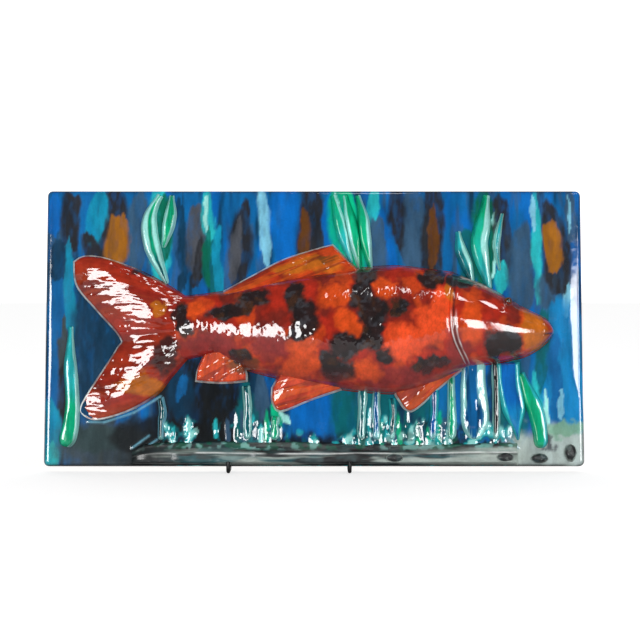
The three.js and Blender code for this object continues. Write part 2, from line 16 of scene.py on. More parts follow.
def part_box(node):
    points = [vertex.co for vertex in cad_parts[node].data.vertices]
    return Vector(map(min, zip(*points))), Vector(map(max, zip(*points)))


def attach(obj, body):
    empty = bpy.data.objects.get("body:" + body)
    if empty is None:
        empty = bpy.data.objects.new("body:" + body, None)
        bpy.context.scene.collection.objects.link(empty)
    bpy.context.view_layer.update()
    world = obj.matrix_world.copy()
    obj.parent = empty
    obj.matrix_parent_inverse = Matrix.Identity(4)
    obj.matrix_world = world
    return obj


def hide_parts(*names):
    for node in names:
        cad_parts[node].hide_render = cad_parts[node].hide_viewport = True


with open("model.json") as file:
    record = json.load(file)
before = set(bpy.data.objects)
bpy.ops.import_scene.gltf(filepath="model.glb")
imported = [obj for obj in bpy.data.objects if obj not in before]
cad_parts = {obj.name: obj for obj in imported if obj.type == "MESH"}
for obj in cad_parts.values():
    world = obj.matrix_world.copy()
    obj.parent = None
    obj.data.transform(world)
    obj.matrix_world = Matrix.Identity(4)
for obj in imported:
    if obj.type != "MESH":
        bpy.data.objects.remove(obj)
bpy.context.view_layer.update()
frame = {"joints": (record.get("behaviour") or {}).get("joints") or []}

MM = 0.001

# Slab
TILE_WIDTH = 305
TILE_HEIGHT = 157
TILE_THICKNESS = 9
TILE_EDGE_ROUNDING = 2.5
TILE_EDGE_LINES = np.array([0, 0.12, 0.4, 0.8, 1.3, 1.9, TILE_EDGE_ROUNDING])
TILE_CORNER_RADIUS = 3
TILE_GRID = 0.76
TILE_BACK_RINGS = 5
SIDE_RING_OUT = 4.5
GLAZED_RINGS = 3
# Painted shade on the tile's glazed sides, as a share of the face's colour
SIDE_PAINTED_SHADE = 0.6
SOFT_EDGE_RIGHT = 8
SOFT_EDGE_LEFT = 3.5
SOFT_EDGE_DROP = 0.7
WATER_RIPPLE = 0.2
WATER_GRAIN = 0.02
MOSS_SWELL = 0.6
MOSS_BLOBS = 34
STRANDS = 40
DROP_HEIGHTS = (0.15, 0.5)
BEAD_WIDTH = 0.6
BEAD_HEIGHT = 0.5
WET_SHARE = 0.12
SLIP_SEAM = 0.3
FACE = TILE_THICKNESS + SLIP_SEAM
GLAZE_ROUNDING = 1.5
GLAZE_FILLET = 0.7
GLAZE_SINK = 0.1

# Fish
FISH_HEIGHT = 19
BODY_LENGTH = 163
PEDUNCLE_HEIGHT = 9
SNOUT_HEIGHT = 7
RIM_HEIGHT = 1.6
GILL_COVER_STEP = 1.2
UNDER_GILL = 0.7
HEAD_TRIM = 0.994
EYE_RADIUS = 2.3
EYE_SINK = 0.9
EYELID_RADIUS = 3
EYELID_HEIGHT = 0.7
BROW_HEIGHT = 0.6
NOSTRIL_DEPTH = 0.6
MOUTH_DEPTH = 0.8
LIP_DEPTH = 0.45
GILL_EDGE_HEIGHT = 0.15
GILL_GROOVE_DEPTH = 0.25
SCALE_SIZE = 5.2
SCALE_ROW_SHARE = 0.5
SCALE_RADIUS_SHARE = 0.64
SCALE_RELIEF = 0.07
BODY_LUMPS = 0.3
BODY_GRAIN = 0.16
BLACK_LUMPS = 0.4
HEAD_LUMPS = 0.1
FIN_ROOT_HEIGHT = 6.5
FIN_EDGE_HEIGHT = 3
FIN_RAY_DEPTH = 0.16
FIN_FINE_RAYS = 0.03
FIN_STREAK_DEPTH = 0.14
FIN_LUMPS = 0.5
TAIL_RAY_DEPTH = 0.08
TAIL_EDGE_HEIGHT = 2.4
TAIL_SLOPE = (0.125, 0.035)
TAIL_ROOT_HEIGHT = 8.5
TAIL_EDGE_SOFTNESS = 9
TAIL_DEEPEST_SAG = 3
TAIL_RIPPLE = 0.13

# Weed, bed and pebbles
PLANT_RIM = RIM_HEIGHT / 2
FROND_HEIGHT = 3.2
FROND_LUMPS = 0.2
REED_HEIGHT = 3.6
REED_FULLNESS = 0.55
REED_SWAY = 0.3
REED_LUMPS = 0.5
REED_ROUNDING = 1.2
BED_DEPTH = 5
BED_LIP = 0.55
BED_LIP_SWAY = 0.12
BED_SETTLE = 0.4
BED_LUMPS = 0.9
BED_GRAIN = 0.3
BED_ROUNDING = 1.3
STONE_HEIGHT = 3
STONE_SINK = 0.6

# Easel
WIRE_RADIUS = 1.1
WIRE_FACETS = 8
WIRE_BEND_RADIUS = 2.6
WIRE_TIP = [(0.0, 0.55), (0.06, 0.8), (0.2, 0.95), (0.4, 1.0)]
PRONG_SPACING = 68
LIP_HEIGHT = 6.8
FRAME_STRAIGHT = 96
ARCH_STEPS = 48
BRACE_HEIGHT = 16
HINGE_HEIGHT = 82
HINGE_SETBACK = 10
LEG_DEGREES = 28
LEG_SPACING = 48
LEG_BEND_RADIUS = 6
LEG_TAIL = 13
EYE_SLEEVE_LENGTH = 5
EYE_SLEEVE_WALL = 1.3
EYE_SLEEVE_SOFTNESS = 0.3
EAR_THICKNESS = 1.6
EAR_WIDTH = 7
EAR_SOFTNESS = 0.25
CLEARANCE = 0.3
ROD_WELD = (0.9, 0.9, 1.25)
EAR_WELD = (0.5, 2.6, 0.8)
EAR_WELD_OUT = 0.2

# Half of the pin's head: radius, and distance from its inner side.
PIN_HEAD = [(WIRE_RADIUS, 0), (2.1, 0), (2.2, 0.15), (2.2, 0.6), (1.8, 1), (0.9, 1.2), (0.2, 1.2)]

# Photograph's view, in metres and degrees; the lens and sensor are in millimetres.
CAMERA_TARGET = (0, -0.0232, 0.0815)
CAMERA_DISTANCE = 1
CAMERA_ELEVATION = 1.5
CAMERA_LENS = 99.2
CAMERA_SENSOR = 36
CAMERA_SHIFT = (6 / 640, 7.3 / 640)
CAMERA_CLIP = (0.01, 100)

# Stage, in metres. Levels are the radiance of the room in front, behind, and as the glaze mirrors it.
FLOOR_RADIUS = 8
FLOOR_DROP = 0.0002
FLOOR_GREY = (0.45, 0.45, 0.45, 1)
FLOOR_LIFT = 0.7
FRONT_LEVEL = 0.24
REAR_LEVEL = 1.4
MIRRORED_ROOM_LEVEL = 0.06
WINDOW_DISTANCE = 3

# Soft window lamps: degrees round from straight in front, degrees up, size in metres, and radiance.
WINDOWS = {
    "left_window": (-27.5, 7, (1.2, 0.75), 11),
    "right_window_near": (21.5, 7, (0.47, 0.75), 11),
    "right_window_slit": (29.9, 7, (0.05, 0.75), 11),
    "right_window_far": (36.5, 7, (0.55, 0.75), 11),
    "high_window_middle": (4, 54, (0.14, 0.4), 9),
    "high_window_near": (30, 50, (0.4, 0.4), 9),
    "high_window_far": (56, 48, (0.45, 0.4), 9),
}


# Places

joints = {joint["name"]: joint for joint in frame["joints"]}
ACROSS = np.array([1.0, 0.0, 0.0])
UP = np.array(joints["plaque_lift"]["axis"], float)
UP /= np.linalg.norm(UP)
OUT = np.cross(ACROSS, UP)
LEAN = math.atan2(UP[1], UP[2])
tile_low, tile_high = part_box("backing_tile")
TILE_MIDDLE = np.array((tile_low + tile_high) / 2)
TILE_ORIGIN = TILE_MIDDLE - (UP * TILE_HEIGHT + OUT * TILE_THICKNESS) / 2 * MM


def directed(across, up, out):
    """Grids of lengths along the plaque's own directions as a grid of points."""
    return across[..., None] * ACROSS + up[..., None] * UP + out[..., None] * OUT


def on_plaque(across, up, out):
    """Frame points of millimetres across the tile, up from its bottom edge and out from its back."""
    return TILE_ORIGIN + MM * directed(across, up, out)


def percent(places):
    """Millimetres on the tile of places in percent."""
    return np.array(places, float) * [TILE_WIDTH / 100, TILE_HEIGHT / 100]


# Numbers

LATTICE = 128
OCTAVES = (0.55, 0.3, 0.15)


def mix(a, b, share):
    return a + (b - a) * share


def ramp(x, low, high):
    """0 below low, 1 above high, and smooth between."""
    share = np.clip((x - low) / (high - low), 0, 1)
    return share * share * (3 - 2 * share)


def fade(x, low, high):
    """1 below low, 0 above high, and smooth between."""
    return 1 - ramp(x, low, high)


def dome(t):
    return np.sqrt(np.maximum(0, 1 - (2 * t - 1) ** 2))


def round_end(distance, reach):
    """A quarter circle's rise from 0, at no distance, to 1, at the reach and beyond."""
    x = np.clip(distance / reach, 0, 1)
    return np.sqrt(x * (2 - x))


def ridge(distance, width):
    return np.exp(-((distance / width) ** 2))


def around(sides):
    return np.linspace(0, 2 * math.pi, sides, endpoint=False)


def noise(u, v, size, seed):
    """Smooth noise from 0 to 1, in patches about size across; a pair of sizes is across and up."""
    draw = np.random.default_rng(seed)
    lattice = draw.random((LATTICE, LATTICE))
    if isinstance(size, tuple):
        x, y = u / size[0], v / size[1]
    else:
        angle = 2 * math.pi * draw.random()
        x = (u * math.cos(angle) + v * math.sin(angle)) / size
        y = (v * math.cos(angle) - u * math.sin(angle)) / size
    i, j = np.floor(x).astype(int), np.floor(y).astype(int)
    share = ramp(x - i, 0, 1)
    here, after = i % LATTICE, (i + 1) % LATTICE
    low, high = (mix(lattice[here, k % LATTICE], lattice[after, k % LATTICE], share) for k in (j, j + 1))
    return mix(low, high, ramp(y - j, 0, 1))


def fractal(u, v, size, seed):
    """Noise with finer noise added, from 0 to 1."""
    total = 0
    for octave, weight in enumerate(OCTAVES):
        finer = 2**octave
        total = total + weight * noise(u * finer, v * finer, size, seed + octave)
    return total


def wander(u, v, size, seed):
    """Fractal noise about 0, from -0.5 to 0.5."""
    return fractal(u, v, size, seed) - 0.5


def patches(u, v, size, seed, low, high):
    """A mask of ragged patches: 0 where fractal noise is below low, 1 where it is above high."""
    return ramp(fractal(u, v, size, seed), low, high)


# Curves and grids on the tile's face

STEPS_PER_SPAN = 60


def spline(places, shares):
    """Points at shares of the length of a smooth curve through places."""
    points = percent(places)
    if len(points) == 2:
        return points[0] + (points[1] - points[0]) * shares[:, None]
    padded = np.vstack([points[:1], points, points[-1:]])
    spans = len(points) - 1
    x = np.linspace(0, spans, STEPS_PER_SPAN * spans + 1)
    k = np.minimum(x.astype(int), spans - 1)
    f = (x - k)[:, None]
    before, here, after, beyond = (padded[k + i] for i in range(4))
    slope_here = (after - before) / 2
    slope_after = (beyond - here) / 2
    cubic = 2 * here - 2 * after + slope_here + slope_after
    square = 3 * after - 3 * here - 2 * slope_here - slope_after
    fine = cubic * f**3 + square * f**2 + slope_here * f + here
    lengths = np.concatenate([[0], np.cumsum(np.linalg.norm(np.diff(fine, axis=0), axis=1))])
    at = shares * lengths[-1]
    return np.stack([np.interp(at, lengths, fine[:, axis]) for axis in (0, 1)], axis=1)


def spaced(count, crowd=0.7):
    """Shares from 0 to 1, closer together towards both ends."""
    x = np.linspace(0, 1, count)
    return mix(x, 0.5 - 0.5 * np.cos(math.pi * x), crowd)


def edged_patch(lower, upper, s, t, start=(), end=()):
    """A grid between four edges: start and end are the places between the corners on the other two."""
    low, high = spline(lower, s), spline(upper, s)
    first = spline([lower[0], *start, upper[0]], t)
    last = spline([lower[-1], *end, upper[-1]], t)
    s, t = s[:, None, None], t[None, :, None]
    across = low[:, None] * (1 - t) + high[:, None] * t
    along = first[None] * (1 - s) + last[None] * s
    corners = (1 - s) * ((1 - t) * low[0] + t * high[0]) + s * ((1 - t) * low[-1] + t * high[-1])
    return across + along - corners


def ribbon_patch(middle, half_width, s, t):
    """A grid along a curved middle line, with a half width for each share s of its length."""
    line = spline(middle, s)
    tangent = np.gradient(line, s, axis=0)
    tangent /= np.linalg.norm(tangent, axis=1, keepdims=True)
    side = np.stack([-tangent[:, 1], tangent[:, 0]], axis=1) * half_width[:, None]
    return line[:, None] + side[:, None] * (2 * t - 1)[None, :, None]


def rim_indices(columns, rows):
    """The grid's border as one loop of flat indices."""
    grid = np.arange(columns * rows).reshape(columns, rows)
    return np.concatenate([grid[:-1, 0], grid[-1, :-1], grid[:0:-1, -1], grid[0, :0:-1]])


def rim_distance(places):
    """Each grid point's distance from the nearest point of the grid's border."""
    flat = places.reshape(-1, 2)
    loop = flat[rim_indices(*places.shape[:2])]
    tree = KDTree(len(loop))
    for k, (u, v) in enumerate(loop):
        tree.insert((u, v, 0), k)
    tree.balance()
    found = [tree.find((u, v, 0))[2] for u, v in flat.tolist()]
    return np.array(found).reshape(places.shape[:2])


def line_distance(u, v, begin, end):
    """Distance from a straight line between two places, and the share of the way along it."""
    begin, end = percent([begin, end])
    along = end - begin
    share = np.clip(((u - begin[0]) * along[0] + (v - begin[1]) * along[1]) / (along @ along), 0, 1)
    return np.hypot(u - begin[0] - share * along[0], v - begin[1] - share * along[1]), share


def place_distance(u, v, place):
    middle_u, middle_v = percent(place)
    return np.hypot(u - middle_u, v - middle_v)


# Glaze colours


def srgb(code):
    values = np.array([(code >> shift) & 255 for shift in (16, 8, 0)]) / 255
    return np.where(values <= 0.04045, values / 12.92, ((values + 0.055) / 1.055) ** 2.4)


COBALT = srgb(0x0E68A8)
BRIGHT_BLUE = srgb(0x086CC2)
AZURE = srgb(0x1288C6)
NAVY = srgb(0x103A56)
SLATE = srgb(0x3A5B78)
UMBER = srgb(0x2C2D31)
WARM_GREY = srgb(0x50535A)
AMBER = srgb(0xA8691C)
BROWN = srgb(0x6A411E)
CYAN = srgb(0x1292B6)
PALE_CYAN = srgb(0x84CCE6)
TURQUOISE = srgb(0x2CC4CA)
TEAL = srgb(0x0B666E)
MINT = srgb(0xACF4EC)
GREEN = srgb(0x06BE88)
DEEP_GREEN = srgb(0x066A50)
INK = srgb(0x1B1E20)
MOSS = srgb(0x384A4C)
OLIVE = srgb(0x434C4C)
STONE_GREY = srgb(0xBCCAC2)
BANK_GREEN = srgb(0x7FB096)
RED = srgb(0xB62C1A)
DEEP_RED = srgb(0x82281E)
BRICK = srgb(0xA63E20)
CRIMSON = srgb(0x962E2E)
ORANGE = srgb(0xE8541C)
FLAME = srgb(0xFF5828)
GOLD = srgb(0xCC721C)
BROW_HIGHLIGHT_PINK = srgb(0xF6D2C6)
WHITE = srgb(0xF4F6F4)
CLAY = srgb(0xC9B08E)
DARK_CLAY = srgb(0xA88C68)
BLACK_PAINT = (0.006, 0.006, 0.007)
WORN_BLACK = (0.02, 0.02, 0.021)


def layered(paint, *layers):
    """Brushes colours over the paint in turn, each as strongly as its mask says."""
    for colour, mask in layers:
        paint = paint + (colour - paint) * mask[..., None]
    return paint


def darkened(paint, share):
    return paint * (1 - share[..., None])


def frayed_places(u, v, seed, ragged=1.9):
    """Places pushed about, so that a round patch drawn over them has a ragged outline."""
    pushes = [4 * wander(u, v, 11, seed + k) + 2.4 * wander(u, v, 3.5, seed + k + 20) for k in (0, 40)]
    return u + ragged * pushes[0], v + ragged * pushes[1]


def round_patch(u, v, spot, soft=0.24):
    """The mask of a round patch: its place and its half sizes, in percent."""
    middle, half = percent([spot[:2], spot[2:]])
    reach = np.hypot((u - middle[0]) / half[0], (v - middle[1]) / half[1])
    return fade(reach, 1 - soft, 1 + soft)


def stroke(u, v, top, bottom, half_width, seed, soft=0.25):
    """The mask of one upright brush stroke between two places, ragged, and narrow at both ends."""
    (top_u, top_v), (bottom_u, bottom_v) = percent([top, bottom])
    share = (v + 12 * wander(u, v, (3.5, 40), seed + 19) - bottom_v) / (top_v - bottom_v)
    sway = 5 * wander(u, v, (9, 20), seed) + 2.4 * wander(u, v, (2.2, 5), seed + 9)
    half = half_width * TILE_WIDTH / 100 * np.clip(4 * share * (1 - share), 0, 1) ** 0.5
    reach = np.abs(u + sway - mix(bottom_u, top_u, share)) / np.maximum(half, 0.01)
    ends = ramp(share, -0.02, 0.06) * fade(share, 0.94, 1.02)
    return fade(reach, 1 - soft, 1 + soft) * ends


# Meshes


def mesh_object(name, points, faces, materials, paint=None, flat=(), slots=None):
    mesh = bpy.data.meshes.new(name)
    mesh.from_pydata(points.tolist(), [], faces)
    smooth = np.ones(len(faces), bool)
    smooth[list(flat)] = False
    mesh.polygons.foreach_set("use_smooth", smooth)
    for material in materials:
        mesh.materials.append(material)
    if slots is not None:
        mesh.polygons.foreach_set("material_index", slots)
    if paint is not None:
        rgba = np.ones((len(points), 4), np.float32)
        rgba[:, :3] = np.clip(paint, 0, 1)
        layer = mesh.color_attributes.new("paint", "FLOAT_COLOR", "POINT")
        layer.data.foreach_set("color", rgba.ravel())
    mesh.update()
    piece = bpy.data.objects.new(name, mesh)
    bpy.context.scene.collection.objects.link(piece)
    return piece


def dress(piece, body, slot, *nodes):
    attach(piece, body)
    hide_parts(*nodes)


def grid_faces(columns, rows):
    grid = np.arange(columns * rows).reshape(columns, rows)
    return np.stack([grid[:-1, :-1], grid[1:, :-1], grid[1:, 1:], grid[:-1, 1:]], axis=-1).reshape(-1, 4)


def ring_faces(upper, lower):
    after = np.roll(np.arange(len(upper)), -1)
    return np.stack([upper, lower, lower[after], upper[after]], axis=-1)


def lofted(points, sides, closed=False, capped=True, turned=False):
    """Faces between rings of points. Closed joins the last ring to the first; turned reverses the faces."""
    grid = np.arange(len(points)).reshape(-1, sides)
    following = np.roll(grid, -1, axis=0) if closed else grid[1:]
    faces = [face for first, second in zip(grid, following) for face in ring_faces(first, second).tolist()]
    if capped and not closed:
        faces += [grid[0].tolist(), grid[-1].tolist()[::-1]]
    return [face[::-1] for face in faces] if turned else faces


def ball(tilts, sides):
    """Places on rings of a unit ball, at tilts from its pole: two across the pole, and one along it."""
    tilt, turn = tilts[:, None], around(sides)
    return np.sin(tilt) * np.cos(turn), np.sin(tilt) * np.sin(turn), np.cos(tilt) + 0 * turn


def loop_area(loop):
    following = np.roll(loop, -1, axis=0)
    return np.sum(loop[:, 0] * following[:, 1] - following[:, 0] * loop[:, 1]) / 2


def outward(loop):
    """The directions away from a loop that runs anticlockwise."""
    along = np.roll(loop, -1, axis=0) - np.roll(loop, 1, axis=0)
    along /= np.maximum(np.linalg.norm(along, axis=1, keepdims=True), 1e-9)
    return np.stack([along[:, 1], -along[:, 0]], axis=1)


def relief(node, slot, material, places, heights, paint, fillet_painted_shade=0.5):
    """A closed glazed form on the tile: a raised grid, a fillet of glaze round its foot, and a flat back."""
    columns, rows = heights.shape
    rim = rim_indices(columns, rows)
    loop = places.reshape(-1, 2)[rim]
    turned = loop_area(loop) < 0
    foot = loop + GLAZE_FILLET * outward(loop) * (-1 if turned else 1)
    front = on_plaque(places[..., 0], places[..., 1], FACE + heights).reshape(-1, 3)
    back = on_plaque(foot[:, 0], foot[:, 1], np.full(len(foot), TILE_THICKNESS - GLAZE_SINK))
    below = np.arange(len(rim)) + len(front)
    faces = np.vstack([grid_faces(columns, rows), ring_faces(rim, below)])
    faces = faces[:, ::-1] if turned else faces
    bottom = below if turned else below[::-1]
    colours = paint.reshape(-1, 3)
    # The fillet ring round the foot is painted darker than the rim, as glaze pooled there and as painted
    # shade where the form meets the tile, but not where the rim sinks below the tile's face.
    shade = mix(1, fillet_painted_shade, ramp(heights.ravel()[rim], -SLIP_SEAM, 0))
    colours = np.vstack([colours, colours[rim] * shade[:, None]])
    piece = mesh_object(
        f"glazed_{node}", np.vstack([front, back]), faces.tolist() + [bottom.tolist()],
        [material], colours, flat=[len(faces)],
    )
    dress(piece, "plaque", slot, node)


# Materials

ROUND = (1, 1, 1)
UPRIGHT = (1, 1, 0.22)


class Nodes:
    """The nodes of a material or of the world, and the place that their textures are read at."""

    def __init__(self, owner, source="TexCoord", output="Object"):
        owner.use_nodes = True
        self.tree = owner.node_tree
        self.place = self.add(source, output)

    def feed(self, node, inputs):
        """Links each named input to a socket, or sets it to a value."""
        for name, value in inputs.items():
            if isinstance(value, bpy.types.NodeSocket):
                self.tree.links.new(value, node.inputs[name])
            else:
                node.inputs[name].default_value = value

    def add(self, kind, output, inputs=None, **settings):
        """Adds a node with its settings and inputs, and gives one of its outputs."""
        node = self.tree.nodes.new(f"ShaderNode{kind}")
        for name, value in settings.items():
            setattr(node, name, value)
        self.feed(node, inputs or {})
        return node.outputs[output]

    def noise(self, scale, detail=3, stretch=None):
        place = self.place
        if stretch:
            place = self.add("Mapping", "Vector", {"Vector": place, "Scale": stretch})
        return self.add("TexNoise", "Fac", {"Vector": place, "Scale": scale, "Detail": detail})

    def ranged(self, value, low, high, span=(0.3, 0.7)):
        """The value, with the ends of its span moved to low and high."""
        limits = {"From Min": span[0], "From Max": span[1], "To Min": low, "To Max": high}
        return self.add("MapRange", "Result", {"Value": value, **limits})

    def maths(self, operation, first, second):
        return self.add("Math", "Value", {0: first, 1: second}, operation=operation)

    def times(self, colour, value):
        return self.add("VectorMath", "Vector", {0: colour, "Scale": value}, operation="SCALE")

    def backwards(self):
        return self.add("SeparateXYZ", "Y", {"Vector": self.place})

    def bumped(self, height, distance, **normal):
        return self.add("Bump", "Normal", {"Height": height, "Distance": distance, **normal})

    def two_tone(self, value, low, high):
        """A ramp between two tones, each with the value where it is reached."""
        tones = self.tree.nodes.new("ShaderNodeValToRGB")
        for stop, (position, colour) in zip(tones.color_ramp.elements, (low, high)):
            stop.position = position
            stop.color = (*colour, 1)
        self.feed(tones, {"Fac": value})
        return tones.outputs["Color"]

    def shade(self, looks):
        """Feeds the looks of a surface to the material's shader."""
        self.feed(self.tree.nodes["Principled BSDF"], looks)


def glaze_material(name, streaks, wave, rough=(0.05, 0.11), coat=1, coat_rough=0.03, specular=0.5):
    """Glaze over painted colour: the stretch of its streaks, and the depth of its wave in metres."""
    material = bpy.data.materials.new(name)
    nodes = Nodes(material)
    painted = nodes.add("Attribute", "Color", attribute_name="paint")
    mottling = nodes.ranged(nodes.noise(170, 5, streaks), 0.72, 1.25)
    speckling = nodes.ranged(nodes.noise(800, 2), 0.94, 1.05)
    ripple = nodes.bumped(nodes.noise(110, 2), wave)
    nodes.shade({
        "Base Color": nodes.times(nodes.times(painted, mottling), speckling),
        "Roughness": nodes.ranged(nodes.noise(60), *rough),
        "Normal": nodes.bumped(nodes.noise(620, 2), wave / 12, Normal=ripple),
        "IOR": 1.5,
        "Specular IOR Level": specular,
        "Coat Weight": coat,
        "Coat Roughness": coat_rough,
        "Coat IOR": 1.55,
    })
    return material


def clay_material():
    """Bare fired clay: buff, with dark grog specks and a dragged, sandy surface."""
    material = bpy.data.materials.new("bare_clay")
    nodes = Nodes(material)
    buff = nodes.two_tone(nodes.noise(45, 6), (0.3, DARK_CLAY), (0.75, CLAY))
    specks = nodes.ranged(nodes.noise(850, 1), 0.45, 1.0, (0.27, 0.36))
    drag = nodes.bumped(nodes.noise(240, 4, (0.15, 1, 1)), 0.0004)
    nodes.shade({
        "Base Color": nodes.times(buff, specks),
        "Roughness": nodes.ranged(nodes.noise(300), 0.75, 0.95),
        "Normal": nodes.bumped(nodes.noise(1500, 2), 0.00012, Normal=drag),
    })
    return material


def wire_material():
    """Black satin paint on steel wire, a little uneven."""
    material = bpy.data.materials.new("black_wire_paint")
    nodes = Nodes(material)
    nodes.shade({
        "Base Color": nodes.two_tone(nodes.noise(400, 4), (0.35, BLACK_PAINT), (0.75, WORN_BLACK)),
        "Roughness": nodes.ranged(nodes.noise(250), 0.3, 0.5),
        "Normal": nodes.bumped(nodes.noise(900, 3), 0.00005),
    })
    return material


WATER = glaze_material("water_glaze", UPRIGHT, 0.00012, rough=(0.2, 0.28), coat=0, specular=0.12)
WET = glaze_material("water_drop_glaze", UPRIGHT, 0.00012)
FISH = glaze_material("fish_glaze", ROUND, 0.0002)
FIN = glaze_material("fin_glaze", ROUND, 0.00025)
EYE = glaze_material("eye_glaze", ROUND, 0.00005)
WEED = glaze_material("weed_glaze", (1, 1, 0.3), 0.00015)
BED = glaze_material("bed_glaze", (0.5, 1, 1), 0.0003, rough=(0.3, 0.45), coat=0.5, coat_rough=0.2)
STONE = glaze_material("stone_glaze", ROUND, 0.0003, rough=(0.4, 0.55), coat=0.3, coat_rough=0.35)
BARE_CLAY = clay_material()
BLACK_WIRE = wire_material()
TILE_MATERIALS = [WATER, WET, BARE_CLAY]
WET_SLOT, CLAY_SLOT = 1, 2


# Slab

# Painted strokes: colour, top place, bottom place and half width, in percent.
STROKES = [
    (BRIGHT_BLUE, -48.6, 101, -48.4, 84, 1.4), (SLATE, -33.1, 100, -33.1, 68, 2.2),
    (UMBER, -45.4, 99, -45.6, 77, 2.1), (NAVY, -47.6, 82, -47.4, 66, 2.2),
    (UMBER, -37, 102, -38.6, 68, 2.8), (CYAN, -39.6, 102, -41.4, 79, 1.7),
    (UMBER, -42.4, 84, -40.4, 72, 2), (AMBER, -36.2, 92, -37.4, 70, 1.9),
    (TURQUOISE, -29.6, 101, -28.4, 64, 2), (DEEP_GREEN, -28.2, 99, -28.6, 74, 1.8),
    (NAVY, -25.4, 98, -24.2, 62, 0.9), (WARM_GREY, -21.9, 96, -22.2, 66, 1.9),
    (UMBER, -21.2, 82, -22, 64, 1), (TURQUOISE, -20.2, 100, -18.6, 74, 1.1),
    (MINT, -20.6, 98, -20, 84, 0.4), (TEAL, -19.4, 84, -18.6, 60, 1.6),
    (CYAN, -18.2, 88, -17.4, 56, 0.9), (DEEP_GREEN, -19.8, 86, -19.8, 64, 0.8),
    (UMBER, -12.8, 97, -14.6, 60, 2.1), (WARM_GREY, -14.2, 90, -15.4, 66, 1.2),
    (PALE_CYAN, -9.8, 101, -8.7, 72, 1.2), (BRIGHT_BLUE, -5.4, 103, -5.4, 72, 2.8),
    (UMBER, -0.4, 103, -0.8, 68, 2.6), (BROWN, -1.7, 94, -1.7, 68, 1.1),
    (BRIGHT_BLUE, 2.4, 101, 2.6, 76, 1), (GREEN, 5, 101, 8.2, 68, 3.2),
    (MINT, 4, 99, 6.4, 74, 0.6), (TURQUOISE, 11.2, 101, 10.2, 84, 1.3),
    (SLATE, 11.8, 92, 12.2, 66, 2.2), (BRIGHT_BLUE, 13.4, 88, 15.8, 68, 0.9),
    (UMBER, 15, 103, 16.9, 74, 2.1), (SLATE, 18.9, 102, 18.7, 68, 2.2),
    (UMBER, 22.3, 103, 21.8, 64, 2.1), (BROWN, 22.2, 96, 22.1, 72, 0.8),
    (TEAL, 28, 86, 29.4, 62, 2), (DEEP_GREEN, 31.8, 101, 32, 62, 2.6),
    (MINT, 34, 95, 33.4, 68, 0.5), (UMBER, 35, 99, 35.6, 66, 1.7),
    (TURQUOISE, 35, 73, 35.4, 62, 1.3), (SLATE, 38.6, 88, 39, 54, 2.8),
    (TURQUOISE, 41.3, 99, 42.1, 56, 1), (PALE_CYAN, 41, 97, 41.4, 84, 0.5),
    (SLATE, 44, 70, 44.5, 52, 2.6), (UMBER, 44, 97, 46.2, 60, 2.5),
    (AMBER, 44.1, 90, 45.4, 70, 1.5), (SLATE, 48, 101, 47.8, 80, 1.1),
    (PALE_CYAN, 47.8, 98, 47.6, 84, 0.25), (PALE_CYAN, 47.1, 66, 46.9, 55, 0.8),
    (AZURE, 46.4, 62, 46.2, 4, 5.2), (TEAL, 43.4, 58, 41.6, 24, 1.6),
    (COBALT, 44.8, 50, 44.6, 12, 1.2), (TURQUOISE, 41, 35, 42, 8, 0.9),
    (MINT, 43, 28, 42.9, 12, 0.4), (PALE_CYAN, 45.7, 28, 45.6, 15, 0.5),
    (CYAN, -46.1, 82, -44.6, 40, 0.9), (COBALT, -48.6, 66, -48.6, 4, 1.2),
    (OLIVE, -46.8, 54, -46.6, 32, 1), (UMBER, -46.2, 36, -46.2, 6, 1.4),
    (NAVY, -40, 72, -39.4, 12, 5.6), (INK, -24, 42, -22, 0, 7),
    (NAVY, -24.8, 36, -24.2, 14, 2.6), (COBALT, -24.6, 33, -24.6, 24, 1),
    (INK, -15, 38, -15, 0, 7), (NAVY, -10.4, 34, -10, 8, 2.4),
    (SLATE, -9.6, 33, -9.6, 12, 1.2), (TEAL, -12.6, 32, -12, 8, 1.4),
    (GREEN, -6.9, 26, -6.6, 8, 1.2), (MINT, -6.6, 22, -4.8, 14, 0.6),
    (BRIGHT_BLUE, -0.5, 34, -0.5, 8, 4), (TEAL, 5.6, 34, 5.6, 9, 2.5),
    (TEAL, 12, 32, 12, 6, 4.5), (NAVY, 18, 30, 18, 6, 3),
    (TEAL, 22, 34, 22, 6, 3.6), (COBALT, 24, 32, 24, 10, 1.2),
    (NAVY, 33.6, 44, 33.6, 8, 1.6), (TEAL, 36.6, 40, 37.4, 6, 3),
    (CYAN, -48.9, 26, -48.4, -8, 2), (TURQUOISE, -48.9, 10, -48.6, -8, 1.2),
]

# Ground at the foot of the picture: colour, place and half sizes, in percent.
GROUND = [
    (OLIVE, -38, 6, 10, 11), (MOSS, -40, 10, 5, 5), (INK, -31, 10, 6, 8), (INK, -10, 3, 26, 8),
    (MOSS, 22, 3, 16, 7), (STONE_GREY, 44.2, 4, 9.4, 10), (BANK_GREEN, 46.5, 12.5, 3.6, 3),
    (WARM_GREY, 43.8, 9, 0.8, 3),
]

# Strands and blobs of glaze: where they are in percent, and how wide in millimetres.
STRAND_PLACES = [(-19, -5), (8, 25)]
STRAND_FEET = (7, 11)
STRAND_TOPS = (15, 26)
STRAND_LEANS = (-0.8, 0.8)
STRAND_WIDTHS = (1, 2)
BLOB_PLACES = (-29, 35)
BLOB_RADII = (1.1, 2.8)
BLOB_FLATNESS = (0.7, 1.2)

# Raised beads of glaze along sloping lines at the ends of the ledge: from and to.
SLOPING_BEADS = [
    ((-33.6, 6.5), (-30.5, 10.9)), ((-31.2, 6.5), (-29, 9.5)), ((37.7, 6.5), (34.6, 12.7)),
    ((-41.8, 15.9), (-38.8, 15.7)), ((-38.8, 15.7), (-33.3, 19.2)), ((-33.3, 19.2), (-28.4, 25)),
]
STRAND_COLOURS = [TURQUOISE, TEAL, GREEN, NAVY, TEAL, SLATE]
BLOB_COLOURS = [TURQUOISE, MOSS, INK, TEAL, MINT, INK, TURQUOISE, DEEP_GREEN]


